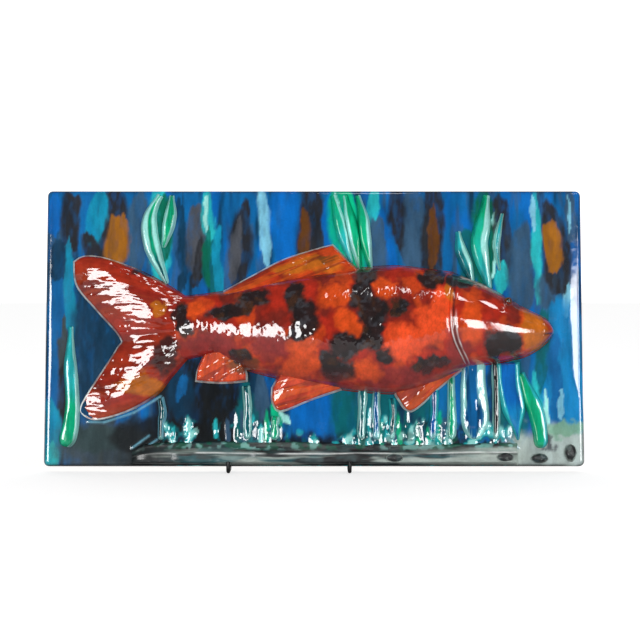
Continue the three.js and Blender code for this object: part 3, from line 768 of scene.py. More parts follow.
def tile_lines(length):
    """Grid lines across a side of the tile, close together over its rounded edges."""
    inner = np.linspace(TILE_EDGE_ROUNDING, length - TILE_EDGE_ROUNDING, int(length / TILE_GRID))
    return np.concatenate([TILE_EDGE_LINES[:-1], inner, length - TILE_EDGE_LINES[-2::-1]])


def round_corners(u, v):
    """Moves the grid's square corners on to round ones, and gives each point's distance from the edge."""
    over_u = np.maximum(np.abs(u) - (TILE_WIDTH / 2 - TILE_CORNER_RADIUS), 0)
    over_v = np.maximum(np.abs(v - TILE_HEIGHT / 2) - (TILE_HEIGHT / 2 - TILE_CORNER_RADIUS), 0)
    deepest = np.maximum(over_u, over_v)
    shrink = deepest / np.maximum(np.hypot(over_u, over_v), 1e-9)
    shrink = np.where((over_u > 0) & (over_v > 0), shrink, 1)
    u = u - np.sign(u) * over_u * (1 - shrink)
    v = v - np.sign(v - TILE_HEIGHT / 2) * over_v * (1 - shrink)
    inside = np.minimum(TILE_WIDTH / 2 - np.abs(u), TILE_HEIGHT / 2 - np.abs(v - TILE_HEIGHT / 2))
    return u, v, np.where(deepest > 0, TILE_CORNER_RADIUS - deepest, inside)


def water_paint(u, v):
    """Mottled blue under upright strokes, and the ground at the foot."""
    paint = layered(
        NAVY,
        (COBALT, patches(u, v, (5, 34), 11, 0.22, 0.48)),
        (BRIGHT_BLUE, 0.8 * patches(u, v, (7, 40), 23, 0.5, 0.68)),
        (SLATE, 0.6 * patches(u, v, (4, 26), 31, 0.56, 0.72)),
    )
    for k, (colour, *line, half_width) in enumerate(STROKES):
        body = 0.72 + 0.26 * patches(u, v, (2.2, 7), 300 + k, 0.25, 0.6)
        paint = layered(paint, (colour, body * stroke(u, v, line[:2], line[2:], half_width, 100 + k)))
    for k, (colour, *spot) in enumerate(GROUND):
        frayed = frayed_places(u, v, 500 + k, ragged=2.5)
        paint = layered(paint, (colour, 0.92 * round_patch(*frayed, spot, soft=0.3)))
    return paint


def moss_band(u, v):
    """Where moss grows along the foot of the picture, and the mottling of its colours and lumps."""
    across, up = 100 * u / TILE_WIDTH, 100 * v / TILE_HEIGHT
    tops = 11 + 6 * ramp(np.abs(across - 1), 4, 9) + 12 * wander(u, v, (8, 60), 89)
    ends = ramp(across, -30, -27.5) * fade(across, 35, 37.5)
    mottle = fractal(u, v, (5, 9), 91) - 0.05 + 0.1 * ramp(across, -10, 10)
    return fade(up, tops - 2.5, tops) * ends, mottle


def glaze_drops(u, v):
    """Drops of glaze that hang as strands or stand as blobs: shape, height, colour and mask of each."""
    draw = np.random.default_rng(71)
    torn = 0.7 * wander(u, v, (3, 4.5), 83)
    for _ in range(STRANDS):
        across = draw.choice([draw.uniform(*span) for span in STRAND_PLACES])
        low, high = draw.uniform(*STRAND_FEET), draw.uniform(*STRAND_TOPS)
        lean = draw.uniform(*STRAND_LEANS)
        distance, share = line_distance(u, v, (across, low), (across + lean, high))
        bead = ridge(distance, draw.uniform(*STRAND_WIDTHS)) * fade(share, 0.4, 1)
        tall = draw.uniform(*DROP_HEIGHTS)
        colour = STRAND_COLOURS[draw.integers(len(STRAND_COLOURS))]
        yield bead, tall, colour, 0.85 * ramp(bead + torn, 0.3, 0.6)
    for _ in range(MOSS_BLOBS):
        across, up = percent([draw.uniform(*BLOB_PLACES), 7.5 + 5 * draw.random() ** 1.6])
        radius = draw.uniform(*BLOB_RADII)
        bead = ridge(np.hypot(u - across, (v - up) * draw.uniform(*BLOB_FLATNESS)), radius)
        tall = draw.uniform(*DROP_HEIGHTS)
        colour = BLOB_COLOURS[draw.integers(len(BLOB_COLOURS))]
        yield bead, tall, colour, 0.5 * ramp(bead + torn, 0.35, 0.6)


def water_relief(u, v, paint):
    """Ripple in the glaze, and the moss, drops and beads that stand up from the foot of the picture."""
    moss, mottle = moss_band(u, v)
    wet = moss * ramp(mottle, 0.5, 0.66)
    height = WATER_RIPPLE * wander(u, v, (16, 34), 41) + WATER_GRAIN * (noise(u, v, (4, 9), 47) - 0.5)
    height = height + MOSS_SWELL * wet
    paint = layered(paint, (INK, 0.8 * moss * fade(mottle, 0.38, 0.46)))
    for colour, level in ((TEAL, 0.45), (TURQUOISE, 0.53), (MINT, 0.61)):
        paint = layered(paint, (colour, 0.8 * moss * ramp(mottle, level, level + 0.05)))
    for bead, tall, colour, mask in glaze_drops(u, v):
        height = height + tall * bead
        wet = np.maximum(wet, bead)
        paint = layered(paint, (colour, mask))
    for begin, end in SLOPING_BEADS:
        bead = ridge(line_distance(u, v, begin, end)[0], BEAD_WIDTH)
        height = np.maximum(height, BEAD_HEIGHT * bead)
        wet = np.maximum(wet, bead)
        # Pale cyan on the beads: partly their glaze colour, partly a painted highlight along them.
        paint = layered(paint, (PALE_CYAN, 0.6 * bead))
    return height, paint, wet


def make_tile():
    """The slab: a rippled, painted face with soft edges, glazed sides, and a bare clay back."""
    rounding = TILE_EDGE_ROUNDING
    u, v = np.meshgrid(tile_lines(TILE_WIDTH) - TILE_WIDTH / 2, tile_lines(TILE_HEIGHT), indexing="ij")
    u, v, inside = round_corners(u, v)
    height, paint, wet = water_relief(u, v, water_paint(u, v))
    from_side = TILE_WIDTH / 2 - np.abs(u)
    reach = np.where(u > 0, SOFT_EDGE_RIGHT, SOFT_EDGE_LEFT) * (0.35 + 1.2 * noise(u, v, (200, 30), 67))
    reach = np.where(u > 0, reach * ramp(v / TILE_HEIGHT, 0.16, 0.34), reach) + 0.01
    slump = SOFT_EDGE_DROP * np.maximum(0, 1 - from_side / reach) ** 2
    wet = np.maximum(wet, np.maximum(from_side < reach, inside < rounding))
    edge_drop = rounding * (1 - round_end(inside, rounding))
    out = TILE_THICKNESS - edge_drop - slump + height * ramp(inside, 0.3, 3)
    thin = fade(inside, 0.2, 1.8) * ramp(noise(u, v, 7, 61), 0.25, 0.6)
    paint = layered(paint, (INK, 0.75 * thin))

    rim = rim_indices(*u.shape)
    loop = np.stack([u, v], axis=-1).reshape(-1, 2)[rim]
    away = outward(loop)
    points = [on_plaque(u, v, out).reshape(-1, 3)]
    colours = [paint.reshape(-1, 3)]
    faces = [grid_faces(*u.shape)]
    slots = [np.where(wet.ravel()[faces[0]].mean(axis=1) > WET_SHARE, WET_SLOT, 0)]
    turns = np.linspace(0, math.pi / 2, TILE_BACK_RINGS)
    rings = [(rounding * (1 - math.cos(turn)), rounding * (1 - math.sin(turn))) for turn in turns]
    upper = rim
    for k, (inset, ring_out) in enumerate([(0, SIDE_RING_OUT), *rings]):
        ring = loop - inset * away
        lower = np.arange(len(rim)) + sum(map(len, points))
        points.append(on_plaque(ring[:, 0], ring[:, 1], np.full(len(ring), ring_out)))
        # The glazed sides are painted darker than the face's edge: painted shade.
        colours.append(colours[0][rim] * SIDE_PAINTED_SHADE)
        faces.append(ring_faces(upper, lower))
        slots.append(np.full(len(rim), WET_SLOT if k < GLAZED_RINGS else CLAY_SLOT))
        upper = lower
    every_face = np.vstack(faces).tolist() + [upper[::-1].tolist()]
    piece = mesh_object(
        "glazed_tile", np.vstack(points), every_face, TILE_MATERIALS, np.vstack(colours),
        flat=[len(every_face) - 1], slots=np.concatenate(slots + [[CLAY_SLOT]]),
    )
    dress(piece, "plaque", "water_glaze", "backing_tile")


make_tile()


# Fish

# Outlines. The start and end are the places between the corners.
BODY_LOWER = [(-24.9, 37.8), (-19.1, 39.6), (-12.5, 34.5), (0, 28.9), (14.5, 26), (21.7, 29.1), (27.7, 35.6)]
BODY_UPPER = [(-24.9, 61.1), (-17.1, 62.9), (-2.6, 68.7), (13.2, 72.2), (20.6, 71.1), (25.3, 69.8)]
BODY_START = [(-26.2, 49.5)]
BODY_END = [(25.1, 44.7), (24.5, 54.5)]
HEAD_LOWER = [(27.9, 35.6), (32.7, 36.7), (38.3, 38.9), (41.4, 41.8), (43.3, 44.7)]
HEAD_UPPER = [(25.5, 69.8), (31.8, 65.1), (38.3, 57.6), (42.6, 53.5), (43.7, 51.6)]
HEAD_START = [(25.3, 44.7), (24.7, 54.5)]
HEAD_END = [(44.4, 48.4)]
EYE_PLACE = (35.9, 59)
NOSTRIL_PLACE = (34.4, 55.6)
BROW_ENDS = ((27.5, 68), (35.3, 62.2))

# Places along the head, as shares of its length from the gill cover's edge to the snout
GILL_GROOVE = 0.036
GILL_EDGES = (0.014, 0.058)
LIP_GROOVE = 0.875

# Koi markings: place and half sizes, in percent.
ORANGE_SPOTS = [
    (-21.6, 55.3, 1.6, 3.2), (3.9, 60, 3.2, 4.6), (6.1, 50.2, 2.4, 5.2), (13.4, 63.6, 1.9, 4.6),
    (8.9, 33.2, 3.4, 3.2), (-2.6, 35, 3.4, 4.6), (-1.7, 41.8, 2.6, 4), (29, 52, 2.2, 9), (40, 47.6, 2.2, 9),
]
FLAME_SPOTS = [(16.9, 43.6, 4.2, 6), (21.6, 50.9, 3.4, 6.4), (23.6, 57, 1.8, 7)]
GOLD_SPOTS = [
    (40.8, 48, 2.4, 8), (24.9, 63, 0.7, 5), (-28.6, 56, 1.6, 3), (-31.5, 28.6, 4.4, 4),
    (0, 73, 4.4, 4), (-5, 70.5, 3, 2),
]
BROWN_SPOTS = [(1.6, 75.2, 1.7, 1.9), (-13.4, 36, 2.8, 3.4)]
CRIMSON_SPOTS = [(-19, 43, 5, 4), (15.5, 31.5, 7, 3.4), (-8, 42, 4, 4), (27, 42, 2.5, 6)]
BLACK_SPOTS = [
    (-24.2, 54, 1.5, 4.5), (-23.8, 48.8, 1.7, 3.6), (-16.4, 54.4, 3.2, 2.6), (-13.4, 56, 2.6, 2.6),
    (-11, 59.8, 3.6, 4.4), (-3.4, 59.6, 1.6, 5.4), (-1.6, 53, 2.8, 7), (-2.6, 47, 2, 3),
    (9.7, 68, 2.7, 4.6), (9.1, 61, 2.5, 5.4), (11.3, 54.5, 2.7, 6), (10.4, 46.2, 2.4, 6.4),
    (12.8, 39.3, 1.8, 3.2), (16, 57, 1.6, 3), (15.4, 54.4, 1.4, 2.4), (2.8, 36.4, 2.6, 4),
    (4.6, 33.6, 2.4, 4), (5.6, 42, 2.8, 4.6), (8, 43, 2, 3), (21.7, 67, 2.3, 3.4), (23.4, 37, 2.2, 2.6),
    (20.4, 34.6, 2.4, 2.4), (33.6, 43, 2.6, 5.6), (36, 44.4, 2.4, 5.6), (27, 67.2, 3.2, 2.6),
    (-27.3, 39.3, 2.6, 5.8), (-13.8, 39.4, 1.8, 3), (-31.4, 69.4, 2.2, 1.6),
]


def spotted(u, v, spots):
    """The mask of all the ragged patches in a list."""
    frayed = frayed_places(u, v, 700)
    return np.maximum.reduce([round_patch(*frayed, spot) for spot in spots])


def koi_paint(u, v):
    return layered(
        DEEP_RED,
        (RED, patches(u, v, 10, 211, 0.3, 0.6)),
        (ORANGE, 0.55 * patches(u, v, 8, 223, 0.55, 0.7)),
        (CRIMSON, 0.8 * spotted(u, v, CRIMSON_SPOTS)),
        (ORANGE, 0.9 * spotted(u, v, ORANGE_SPOTS)),
        (FLAME, 0.9 * spotted(u, v, FLAME_SPOTS)),
        (GOLD, 0.85 * spotted(u, v, GOLD_SPOTS)),
        (BROWN, 0.85 * spotted(u, v, BROWN_SPOTS)),
        (INK, 0.97 * spotted(u, v, BLACK_SPOTS)),
    )


def fish_scales(along, across):
    """Overlapping round scales: the rise of each towards its free edge, from 0 to 1."""
    row_step = SCALE_SIZE * SCALE_ROW_SHARE
    radius = SCALE_SIZE * SCALE_RADIUS_SHARE
    row = np.floor(across / row_step)
    top = np.full(along.shape, -np.inf)
    rise = np.zeros(along.shape)
    for row_shift in (-1, 0, 1, 2):
        this_row = row + row_shift
        offset = np.where(this_row % 2 == 0, 0.0, SCALE_SIZE / 2)
        first = np.floor((along - offset) / SCALE_SIZE)
        for step in (0, 1):
            middle = (first + step) * SCALE_SIZE + offset
            reach = np.hypot(along - middle, across - this_row * row_step) / radius
            seen = (reach < 1) & (middle > top)
            top = np.where(seen, middle, top)
            rise = np.where(seen, reach, rise)
    return rise**2


def tucked(places):
    """Places moved under the edge of the gill cover."""
    return [(across + UNDER_GILL, up) for across, up in places]


def make_body():
    """The body, from the tail's root to under the gill cover, with faint scales."""
    s, t = spaced(300, 0.4), spaced(130)
    lower = BODY_LOWER[:-1] + tucked(BODY_LOWER[-1:])
    upper = BODY_UPPER[:-1] + tucked(BODY_UPPER[-1:])
    places = edged_patch(lower, upper, s, t, BODY_START, tucked(BODY_END))
    u, v = places[..., 0], places[..., 1]
    s, t = s[:, None], t[None, :]
    crest = mix(PEDUNCLE_HEIGHT, FISH_HEIGHT, ramp(s, 0, 0.6))
    ends = mix(0.4, 1, round_end(s, 0.1)) * mix(0.86, 1, round_end(1 - s, 0.022))
    height = RIM_HEIGHT * dome(t) + (crest - RIM_HEIGHT) * dome(t) * ends
    girth = np.linalg.norm(places[:, -1] - places[:, 0], axis=1)[:, None]
    scale = fish_scales(s * BODY_LENGTH, (t - 0.5) * girth)
    shown = ramp(dome(t), 0.25, 0.6) * ramp(s, 0.01, 0.08) * fade(s, 0.97, 0.99)
    black = spotted(u, v, BLACK_SPOTS)
    lumps = BODY_LUMPS * wander(u, v, 7, 251) + BODY_GRAIN * (noise(u, v, (2, 5), 257) - 0.5)
    lumps = lumps + BLACK_LUMPS * wander(u, v, 3, 263) * black
    height = height + SCALE_RELIEF * scale * shown + lumps * ramp(dome(t), 0.2, 0.6)
    # Grey flecks on the black patches, most along the scales' edges: painted glints.
    painted_scale_glints = patches(u, v, (4.2, 3), 281, 0.5, 0.68) * mix(0.4, 1, ramp(scale, 0.1, 0.6))
    paint = layered(
        koi_paint(u, v),
        (BROWN, 0.3 * black * patches(u, v, 6, 283, 0.5, 0.7)),
        (WARM_GREY, 0.5 * black * painted_scale_glints),
        (CRIMSON, 0.4 * fade(t, 0.02, 0.2)),
    )
    # Darker where each scale rises to its free edge: painted shade at the step to the next scale.
    paint = darkened(paint, 0.16 * ramp(scale, 0.6, 1) * shown)
    relief("fish_body", "fish_glaze", FISH, places, height, paint)


def make_head():
    """The head with its gill cover. Gives its places and heights, for the eye's seat."""
    s, t = spaced(170, 0.5), spaced(150)
    places = edged_patch(HEAD_LOWER, HEAD_UPPER, s, t, HEAD_START, HEAD_END)
    u, v = places[..., 0], places[..., 1]
    s, t = s[:, None], t[None, :]
    crest = mix(FISH_HEIGHT + GILL_COVER_STEP, SNOUT_HEIGHT, s**1.6)
    height = RIM_HEIGHT * dome(t) + (crest - RIM_HEIGHT) * dome(t) * round_end(1 - s, 0.12)
    gill_groove = ridge(s - GILL_GROOVE, 0.012) * dome(t)
    gill_edges = sum(ridge(s - edge, 0.007) for edge in GILL_EDGES) * dome(t)
    height = height * mix(0.9, 1, round_end(s, 0.016)) + HEAD_LUMPS * wander(u, v, 7, 261) * dome(t)
    height = height + GILL_EDGE_HEIGHT * gill_edges - GILL_GROOVE_DEPTH * gill_groove
    brow = ridge(line_distance(u, v, *BROW_ENDS)[0], 1.1)
    from_eye = place_distance(u, v, EYE_PLACE)
    lid = ridge(from_eye - EYELID_RADIUS, 0.75)
    nostril = ridge(place_distance(u, v, NOSTRIL_PLACE), 0.9)
    mouth = ridge(t - 0.4 - 0.06 * (1 - s), 0.035) * ramp(s, 0.87, 0.92)
    lip = ridge(s - LIP_GROOVE, 0.012) * dome(t)
    height = height + BROW_HEIGHT * brow + EYELID_HEIGHT * lid
    height = height - NOSTRIL_DEPTH * nostril - MOUTH_DEPTH * mouth - LIP_DEPTH * lip
    height = HEAD_TRIM * np.maximum(height, 0)
    # The gill cover's edges, below its middle and broken up by noise, take a painted highlight.
    gill_edge_highlight = gill_edges * fade(t, 0.45, 0.62) * ramp(noise(u, v, 6, 271), 0.1, 0.4)
    paint = layered(
        koi_paint(u, v),
        # grey flecks on the black patches: painted glints
        (WARM_GREY, 0.45 * spotted(u, v, BLACK_SPOTS) * patches(u, v, (7, 3), 281, 0.45, 0.7)),
        (DEEP_RED, 0.35 * ramp(s, 0.87, 0.9)),
        (DEEP_RED, 0.8 * fade(from_eye, 2.6, 4.6)),
        # painted shade in the mouth groove and the nostril dent
        (INK, 0.6 * np.maximum(mouth, nostril)),
        # painted highlight along the gill cover's edges
        (WHITE, 0.9 * gill_edge_highlight),
        # painted highlight along the brow ridge
        (BROW_HIGHLIGHT_PINK, 0.7 * brow),
        # painted shade in the gill groove
        (INK, 0.8 * gill_groove),
    )
    relief("fish_head", "fish_glaze", FISH, places, height, paint)
    return u, v, height


def make_eye(head_u, head_v, head_height):
    """A bead half sunk in the head, with a dark pupil in a red-brown ring."""
    rings, sides = 20, 40
    eye_u, eye_v = percent(EYE_PLACE)
    seat = FACE + head_height.ravel()[np.argmin(place_distance(head_u, head_v, EYE_PLACE))]
    x, y, z = ball(np.linspace(0, math.pi, rings), sides)
    out = seat - EYE_SINK + EYE_RADIUS * z
    points = on_plaque(eye_u + EYE_RADIUS * x, eye_v + EYE_RADIUS * y, out).reshape(-1, 3)
    from_pupil = np.hypot(x, y)
    paint = layered(INK, (BROWN, ramp(from_pupil, 0.5, 0.62)), (DEEP_RED, ramp(from_pupil, 0.8, 0.95)))
    faces = lofted(points, sides, capped=False)
    piece = mesh_object("glazed_fish_eye", points, faces, [EYE], paint.reshape(-1, 3))
    dress(piece, "plaque", "eye_glaze", "fish_eye")


# The middles of the tail's two swollen lobes: from, to, half width, and how fast they fall away.
TAIL_FOLDS = [((-39.8, 70.2), (-31.4, 55), 2.0, 0.018), ((-36.2, 25), (-29.8, 41.5), 0.5, 0.03)]

# Each fin: its lower and upper edges, the places between the corners at a curved start or end, which edge
# is its root, how many rays it has, the degrees that its fine streaks rise from level, its grid and colours.
FINS = {
    "tail_fin": dict(
        lower=[(-23.4, 38.9), (-26.4, 32), (-29.2, 25.5), (-34.6, 19.6), (-40.1, 16.7), (-42.6, 18.2)],
        upper=[(-23.4, 60.4), (-27.5, 65.6), (-32.9, 70.9), (-39, 75.1), (-42.8, 75.8), (-44.8, 73.8)],
        end=[(-42.8, 22.9), (-36.8, 41.5), (-36, 46.2), (-40.7, 56.7), (-44.2, 65.1)],
        root="start", rays=12, swept=None, grid=(190, 230), colours=(DEEP_RED, BRICK, RED),
    ),
    "dorsal_fin": dict(
        lower=[(-17.4, 60.5), (-2.6, 66), (8.9, 69)],
        upper=[(-17.4, 62.4), (-11.7, 68.4), (-6.1, 74.2), (-0.7, 77.8), (3.5, 80)],
        end=[(7.8, 71.6), (6.1, 74.7)],
        root="lower", rays=7, swept=22, grid=(190, 90), colours=(DEEP_RED, RED, ORANGE),
    ),
    "pectoral_fin": dict(
        lower=[(14.9, 27.3), (15.4, 24.4), (18, 19.6), (23.4, 28.2), (28.3, 36)],
        upper=[(16, 30.2), (21.6, 33.8), (27.5, 38.2)],
        root="upper", rays=7, swept=42, grid=(150, 90), colours=(RED, RED, ORANGE),
    ),
    "pelvic_fin": dict(
        lower=[(-7.8, 28), (-7.8, 23.6), (-6.9, 20), (-5.2, 20), (-0.4, 23.8), (5.6, 27.8)],
        upper=[(-6.3, 33.1), (-0.7, 31.6), (5.6, 30.2)],
        root="upper", rays=7, swept=16, grid=(150, 90), colours=(RED, RED, FLAME),
    ),
    "anal_fin": dict(
        lower=[(-21.9, 30.4), (-17.2, 29.8), (-12.4, 30.4)],
        upper=[(-20.3, 40.4), (-16.8, 41.2), (-13.8, 38.4)],
        start=[(-21.6, 34.5)], end=[(-12.6, 34)],
        root="upper", rays=6, swept=28, grid=(110, 90), colours=(RED, FLAME, ORANGE),
    ),
}


def tail_height(u, v, s, t, inside):
    """Two swollen lobes that rise to the root, with a fold between, a soft edge and a fine ripple."""
    rise = TAIL_SLOPE[0] * (u - u.min()) + TAIL_SLOPE[1] * (v - v.mean())
    reaches, sags = [], []
    for begin, end, half, fall in TAIL_FOLDS:
        reach = line_distance(u, v, begin, end)[0]
        reaches.append(reach)
        sags.append(fall * np.maximum(0, reach - half) ** 2)
    sag = np.minimum(*sags)
    height = np.minimum(TAIL_EDGE_HEIGHT + rise, TAIL_ROOT_HEIGHT) - sag / (1 + sag / TAIL_DEEPEST_SAG)
    height = height * mix(dome(t) ** 0.6 * round_end(s + 0.02, 0.27), 1, ramp(s, 0.05, 0.45))
    height = height * mix(0.45, 1, round_end(inside, TAIL_EDGE_SOFTNESS))
    ripple = TAIL_RIPPLE * mix(1, 2.5, ramp(np.minimum(*reaches), 2, 7))
    return height + ripple * (noise(u, v, (9, 1.5), 851) - 0.5)


def swept_streaks(u, v, swept):
    """The masks of the grooves and crests of fine streaks."""
    if swept is None:
        return np.zeros(u.shape), np.zeros(u.shape)
    turn = math.radians(swept)
    along = u * math.cos(turn) + v * math.sin(turn)
    beside = v * math.cos(turn) - u * math.sin(turn)
    groove = patches(along, beside, (30, 2.4), 861, 0.5, 0.62)
    return groove, patches(along, beside, (26, 2.0), 871, 0.52, 0.64)


def make_fin(node, lower, upper, root, rays, swept, grid, colours, start=(), end=()):
    """A fin with rays, fine streaks and lumps, whose glaze breaks white along its free edges, with a painted
    highlight there too.
    """
    s, t = map(spaced, grid)
    places = edged_patch(lower, upper, s, t, start, end)
    u, v = places[..., 0], places[..., 1]
    s, t = np.meshgrid(s, t, indexing="ij")
    from_root, across = {"start": (s, t), "lower": (t, s), "upper": (1 - t, s)}[root]
    inside = rim_distance(places)
    sway = 0.05 * (noise(u, v, 14, 811) - 0.5)
    coarse = 0.5 + 0.5 * np.cos(2 * math.pi * rays * (across + sway))
    fine = 0.5 * np.cos(2 * math.pi * rays * 3 * (across + 1.5 * sway))
    if node == "tail_fin":
        height = tail_height(u, v, s, t, inside) - TAIL_RAY_DEPTH * coarse
    else:
        height = mix(FIN_ROOT_HEIGHT, FIN_EDGE_HEIGHT, from_root) - FIN_RAY_DEPTH * coarse
    groove, crest = swept_streaks(u, v, swept)
    rough = FIN_FINE_RAYS * fine + FIN_LUMPS * wander(u, v, 6, 801) + FIN_STREAK_DEPTH * (crest - groove)
    height = (height + rough * ramp(from_root, 0.1, 0.4)) * round_end(inside, GLAZE_ROUNDING)
    base, middle, streak = colours
    paint = layered(
        base,
        (middle, patches(across * rays * 5, from_root * 9, (3, 14), 821, 0.35, 0.6)),
        (streak, 0.7 * patches(across * rays * 4, from_root * 7, (9, 15), 831, 0.42, 0.68)),
        (GOLD, 0.85 * spotted(u, v, GOLD_SPOTS)),
        (BROWN, 0.85 * spotted(u, v, BROWN_SPOTS)),
        (INK, 0.85 * spotted(u, v, BLACK_SPOTS)),
        (DEEP_RED, 0.6 * groove),
        (mix(streak, GOLD, 0.35), 0.6 * crest),
    )
    # Darker in the grooves between the rays: painted shade.
    paint = darkened(paint, 0.11 * ramp(coarse, 0.75, 1.0))
    # White along the free edges and on the fillet: glaze breaking white, and a painted highlight there.
    breaking_and_highlight = fade(inside, 0.25, 0.7) * ramp(from_root, 0.35, 0.7)
    breaking_and_highlight = breaking_and_highlight * mix(0.5, 1, ramp(noise(u, v, 3.4, 841), 0.3, 0.5))
    relief(node, "fin_glaze", FIN, places, height, layered(paint, (WHITE, breaking_and_highlight)), fillet_painted_shade=0.85)


make_body()
make_eye(*make_head())
for fin_name, fin in FINS.items():
    make_fin(fin_name, **fin)


# Weed

# Fullness of a blade at the top, middle and foot
LANCE = (0.35, 1, 0.35)
LEAF = (0.5, 1, 0.85)
HANGING = (1, 1, 0.12)
CLUB = (0.2, 0.75, 1)

# Each blade: the places along its middle, half width, its colours at the top, the foot and the edges,
# the shares of its width that are pale at the left and right, and its fullness.
BLADES = {
    "frond_left_front": (
        [(-28.8, 98), (-30.4, 92), (-30.8, 87), (-30.4, 81), (-29.4, 75), (-27.4, 66)],
        4.3, GREEN, TEAL, MINT, (0.38, 0.3), LANCE),
    "frond_left_back": (
        [(-26.6, 98), (-26.8, 91.3), (-27.4, 84.7), (-28.1, 79.3)],
        3.2, GREEN, GREEN, MINT, (0.16, 0.14), LANCE),
    "frond_centre_1": (
        [(3.5, 98), (4.3, 92), (5.4, 83.3), (6.9, 73.8)], 2.9, GREEN, TURQUOISE, MINT, (0, 0.24), LANCE),
    "frond_centre_2": (
        [(5.9, 98), (6.6, 91.3), (7.5, 82.5), (8.6, 71)], 3.1, GREEN, GREEN, MINT, (0.22, 0), LANCE),
    "frond_centre_3": (
        [(8.2, 98), (9.1, 90.5), (9.6, 81.8), (10.6, 71)], 3.1, GREEN, GREEN, MINT, (0, 0.22), LANCE),
    "frond_right_tall": (
        [(32.3, 98), (31.6, 88.4), (30.9, 80.7), (31.4, 73.8), (32.7, 64)],
        4.4, GREEN, TURQUOISE, MINT, (0, 0.34), LANCE),
    "frond_right_leaf": (
        [(26.9, 84.7), (27.4, 78.2), (28.4, 73.1), (29.6, 65)], 3.1, TURQUOISE, TEAL, MINT, (0, 0.36), LANCE),
    "frond_right_thin": (
        [(35.2, 91.3), (34.4, 84.4), (34.1, 78.2), (34.6, 70.9)],
        1.6, TURQUOISE, TURQUOISE, MINT, (0.2, 0.2), LANCE),
    "leaf_low_right": (
        [(38.3, 33), (39.6, 26.5), (41.1, 19.3), (41.8, 12), (41.9, 6.8)],
        4.2, GREEN, GREEN, TURQUOISE, (0, 0.22), LEAF),
    "leaf_blue": (
        [(35.9, 37), (36.1, 30.2), (36.9, 21.8), (37.4, 14.5), (37.7, 9.6)],
        6.4, BRIGHT_BLUE, AZURE, TURQUOISE, (0.08, 0.16), HANGING),
    "leaf_low_left": (
        [(-45.2, 50), (-45.2, 36.7), (-44.9, 29.1), (-44.7, 21.8), (-45, 14.2), (-45.9, 7.3)],
        4.6, TURQUOISE, GREEN, MINT, (0, 0.06), CLUB),
}


def make_blade(node, middle, half_width, top, foot, edge, pale, fullness, seed):
    """A leaf of weed whose colour changes down its length, with streaks and pale edges."""
    s, t = spaced(110, 0.3), spaced(50)
    width = mix(fullness[0], fullness[1], ramp(s, 0, 0.4))
    width = mix(width, fullness[2], ramp(s, 0.55, 1)) * mix(0.3, 1, round_end(1 - s, 0.1))
    places = ribbon_patch(middle, half_width * width, s, t)
    u, v = places[..., 0], places[..., 1]
    s, t, width = s[:, None], t[None, :], width[:, None]
    height = PLANT_RIM + (FROND_HEIGHT - PLANT_RIM) * mix(0.8, 1, dome(t)) * mix(0.5, 1, width)
    height = height + FROND_LUMPS * wander(u, v, (5, 14), seed + 1)
    height = height * round_end(rim_distance(places), GLAZE_ROUNDING)
    paint = layered(top, (foot, ramp(s + 0.4 * (noise(u, v, 8, seed + 2) - 0.5), 0.25, 0.75)))
    paint = darkened(paint, 0.275 * patches(u, v, (2.4, 22), seed + 5, 0.5, 0.7))
    frayed = 0.3 * wander(u, v, (4, 18), seed + 3)
    for from_middle, share in zip((1 - t, t), pale):
        if share:
            paint = layered(paint, (edge, ramp(from_middle + frayed, 0.88 - share, 1 - share)))
    relief(node, "weed_glaze", WEED, places, height, paint, fillet_painted_shade=0.8)


# Short upright stems: place across and top in percent, half width, and colours of core and edges.
STEM_FOOT = 9.6
STEMS = [
    (-28.1, 24.4, 1.8, TEAL, PALE_CYAN), (-12.3, 28.5, 2.4, TEAL, MINT), (-7.2, 17.5, 2.4, GREEN, MINT),
    (8.9, 28, 2.4, TEAL, MINT), (11.7, 27, 2.2, COBALT, MINT), (14.4, 24, 1.8, TEAL, TURQUOISE),
    (22.1, 28, 2.2, BRIGHT_BLUE, TURQUOISE), (25.5, 32.5, 2.4, GREEN, MINT), (29.6, 38, 7.4, COBALT, MINT),
    (33.6, 38.5, 1.8, INK, MINT),
]


def make_reed(node, across, top, half_width, core, edge, seed):
    """A soft, lumpy column of glaze with a pale right side and a rounded foot."""
    s, t = spaced(90, 0.5), spaced(50)
    draw = np.random.default_rng(seed)
    ups = np.linspace(STEM_FOOT, top, 4)
    middle = [(across + draw.uniform(-REED_SWAY, REED_SWAY), up) for up in ups]
    swell = 1 + (noise(s * 30, 0 * s, 8, seed + 4) - 0.5) / half_width
    width = half_width * swell * mix(1, 0.8, s**2) * round_end(s + 0.004, half_width / 24)
    places = ribbon_patch(middle, width, s, t)
    u, v = places[..., 0], places[..., 1]
    s, t = s[:, None], 1 - t[None, :]
    rise = REED_FULLNESS * dome(t) ** 0.6 * mix(0.5, 1, round_end(1 - s, 0.15))
    height = PLANT_RIM + (REED_HEIGHT - PLANT_RIM) * rise + REED_LUMPS * wander(u, v, (4, 6), seed)
    height = height * round_end(rim_distance(places), REED_ROUNDING)
    frayed = 0.5 * wander(u, v, (2.5, 14), seed + 2)
    paint = layered(
        core,
        (core * 0.4, patches(u, v, (2.8, 26), seed + 1, 0.42, 0.65)),
        (edge, 0.9 * ramp(t + frayed, 0.62, 0.8)),
        (edge, 0.8 * ramp(1 - t + frayed, 0.8, 0.92)),
        (MINT, 0.6 * fade(s + frayed, 0.03, 0.1)),
    )
    relief(node, "weed_glaze", WEED, places, height, paint, fillet_painted_shade=0.7)


for k, (blade_name, blade) in enumerate(BLADES.items()):
    make_blade(blade_name, *blade, 900 + 10 * k)
for k, stem in enumerate(STEMS):
    make_reed(f"reed_{k + 1}", *stem, 1100 + 10 * k)


# River bed

BED_LOWER = [(-33.6, 0.8), (37.6, 0.8)]
BED_UPPER = [(-33.6, 5.5), (-28, 8.2), (-5, 8.4), (15, 7.6), (37.6, 8.2)]


